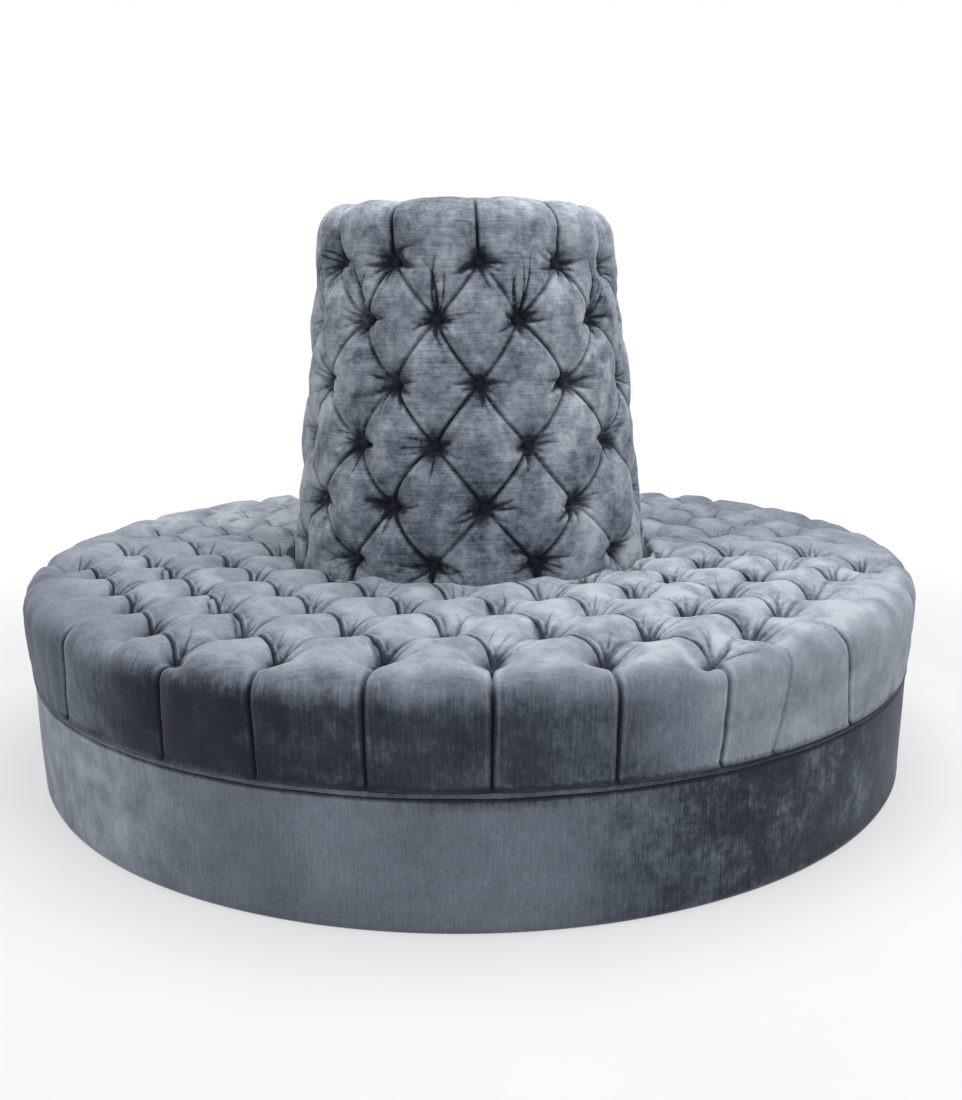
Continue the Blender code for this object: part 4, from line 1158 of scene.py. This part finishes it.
def build_materials():
    return {
        "velvet": velvet(),
        "plywood": grained(
            "birch_plywood", ((0.36, 0.24, 0.13), (0.52, 0.38, 0.22), (0.64, 0.50, 0.32)),
            (3.0, 60.0, 30.0), (20.0, 900.0, 500.0), 0.65),
        "timber": grained(
            "pine_timber", ((0.42, 0.26, 0.12), (0.58, 0.40, 0.21), (0.70, 0.53, 0.31)),
            (70.0, 70.0, 3.0), (700.0, 700.0, 18.0), 0.7),
        "hardboard": grained(
            "brown_hardboard", ((0.13, 0.07, 0.035), (0.21, 0.12, 0.06), (0.30, 0.18, 0.10)),
            (120.0, 120.0, 120.0), (600.0, 600.0, 600.0), 0.75),
        "foam": speckled(
            "upholstery_foam", ((0.52, 0.44, 0.22), (0.72, 0.64, 0.38), (0.84, 0.78, 0.55)),
            900.0, 0.9, pores=True),
        "dust_cloth": speckled(
            "black_dust_cloth",
            ((0.008, 0.008, 0.009), (0.02, 0.02, 0.022), (0.05, 0.05, 0.055)), 1400.0, 0.9),
        "plastic": speckled(
            "black_glide_plastic",
            ((0.010, 0.010, 0.011), (0.020, 0.020, 0.021), (0.035, 0.035, 0.036)), 500.0, 0.45),
        "steel": speckled(
            "zinc_plated_steel", ((0.34, 0.35, 0.36), (0.50, 0.51, 0.52), (0.64, 0.65, 0.66)),
            260.0, 0.38, metallic=1.0, distance=0.0001),
    }


def build_camera():
    data = bpy.data.cameras.new("camera")
    data.sensor_width = SENSOR
    data.lens = FOCAL_PIXELS / FRAME_HEIGHT * SENSOR
    data.clip_end = CLIP_END
    camera = link("camera", data)
    placed = Matrix.Translation(CAMERA_PLACE)
    for angle, axis in ((-CAMERA_YAW, "Z"), (pi / 2 - CAMERA_PITCH, "X"), (CAMERA_ROLL, "Z")):
        placed = placed @ Matrix.Rotation(angle, 4, axis)
    camera.matrix_world = placed
    bpy.context.scene.camera = camera


def add_lamp(name, place, aim, size, power):
    data = bpy.data.lights.new(name, "AREA")
    data.shape = "DISK"
    data.size = size
    data.energy = power
    lamp = link(name, data)
    lamp.location = place
    lamp.rotation_euler = (Vector(aim) - Vector(place)).to_track_quat("-Z", "Y").to_euler()


def seen_directly(tree):
    path = node(tree, "LightPath").outputs
    return maths(tree, "MAXIMUM", path["Is Camera Ray"], path["Is Glossy Ray"])


def build_studio():
    """A pale floor that fades to the white ground, soft lamps and a soft world."""
    world = bpy.data.worlds.new("studio")
    bpy.context.scene.world = world
    world.use_nodes = True
    tree = world.node_tree
    tree.nodes.clear()
    soft = node(tree, "Background", {"Color": (0.93, 0.96, 1.0, 1.0), "Strength": 0.30})
    plain = {"Color": (1.0, 1.0, 1.0, 1.0), "Strength": 1.0}
    white = node(tree, "Background", plain)
    blend = node(tree, "MixShader",
                 {0: seen_directly(tree), 1: soft.outputs[0], 2: white.outputs[0]})
    node(tree, "OutputWorld", {"Surface": blend.outputs[0]})

    material, tree, bsdf, place = shader("studio_floor", 0.9, 0.1)
    far = node(tree, "VectorMath", {0: place}, operation="LENGTH").outputs["Value"]
    fade = node(tree, "MapRange", {"Value": far, "From Min": 1.1, "From Max": 2.4},
                interpolation_type="SMOOTHSTEP").outputs["Result"]
    grain = noise(tree, place, 3.0, 2.0, 0.5)
    paint(tree, bsdf, grain, ((0.80, 0.80, 0.81), (0.84, 0.84, 0.84)), (0.3, 0.7))
    glow = node(tree, "Emission", plain)
    fade = scaled(tree, fade, 0.4, 0.6)
    blend = node(tree, "MixShader", {0: maths(tree, "MULTIPLY", fade, seen_directly(tree)),
                                     1: bsdf.outputs[0], 2: glow.outputs[0]})
    output = next(n for n in tree.nodes if n.type == "OUTPUT_MATERIAL")
    tree.links.new(blend.outputs[0], output.inputs["Surface"])
    mesh = bpy.data.meshes.new("studio_floor")
    corners = [polar(9.0, a, 0.0) for a in round_turns(48)]
    mesh.from_pydata(corners, [], [tuple(range(len(corners)))])
    mesh.materials.append(material)
    link("studio_floor", mesh)

    add_lamp("overhead", (0.3, -0.1, 3.4), (0.1, 0.0, 0.4), 2.2, 82.0)
    add_lamp("key", (2.2, -2.7, 2.5), (0.0, 0.0, 0.5), 1.5, 36.0)
    add_lamp("fill", (-2.7, -2.5, 2.0), (0.0, 0.0, 0.5), 2.0, 26.0)


def dress(piece, *nodes):
    """A velvet piece rides on the sofa, in place of the nodes that it stands for."""
    piece.data.materials.append(materials["velvet"])
    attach(piece, "root")
    if nodes:
        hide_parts(*nodes)


build_camera()
build_studio()
materials = build_materials()
slots = {entry["node"]: entry["material_slot"] for entry in frame["record"]["subparts"]}
for name, cad_node in frame["nodes"].items():
    cad_node.data.materials.clear()
    cad_node.data.materials.append(materials[slots[name]])

sheet, seams, (centres, normals) = seat_sheet()
for side, turn in (("front", 0.0), ("rear", pi)):
    cushion = velvet_piece(side + "_cushion_cover", *sheet, turn, **seams)
    dress(cushion, side + "_seat_cushion")
    spin = np.array(Matrix.Rotation(turn, 3, "Z"))
    dress(build_buttons(side + "_seat_buttons", centres @ spin.T, normals @ spin.T))
    dress(swept(side + "_piping", turn, WELT_LINE, 0.0035, welt_section, welt_tones),
          side + "_welt")
    base = swept(side + "_base_velvet", turn, BASE_RADIUS, 0.0075, base_section, base_tones_and_painted_shade)
    dress(base, side + "_base_cover")

cover, (centres, normals) = build_column()
dress(cover, "column_cover")
dress(build_buttons("column_buttons", centres, normals))
cap = build_cap()
dress(cap, "column_cap")

bpy.context.scene.view_settings.view_transform = "Standard"
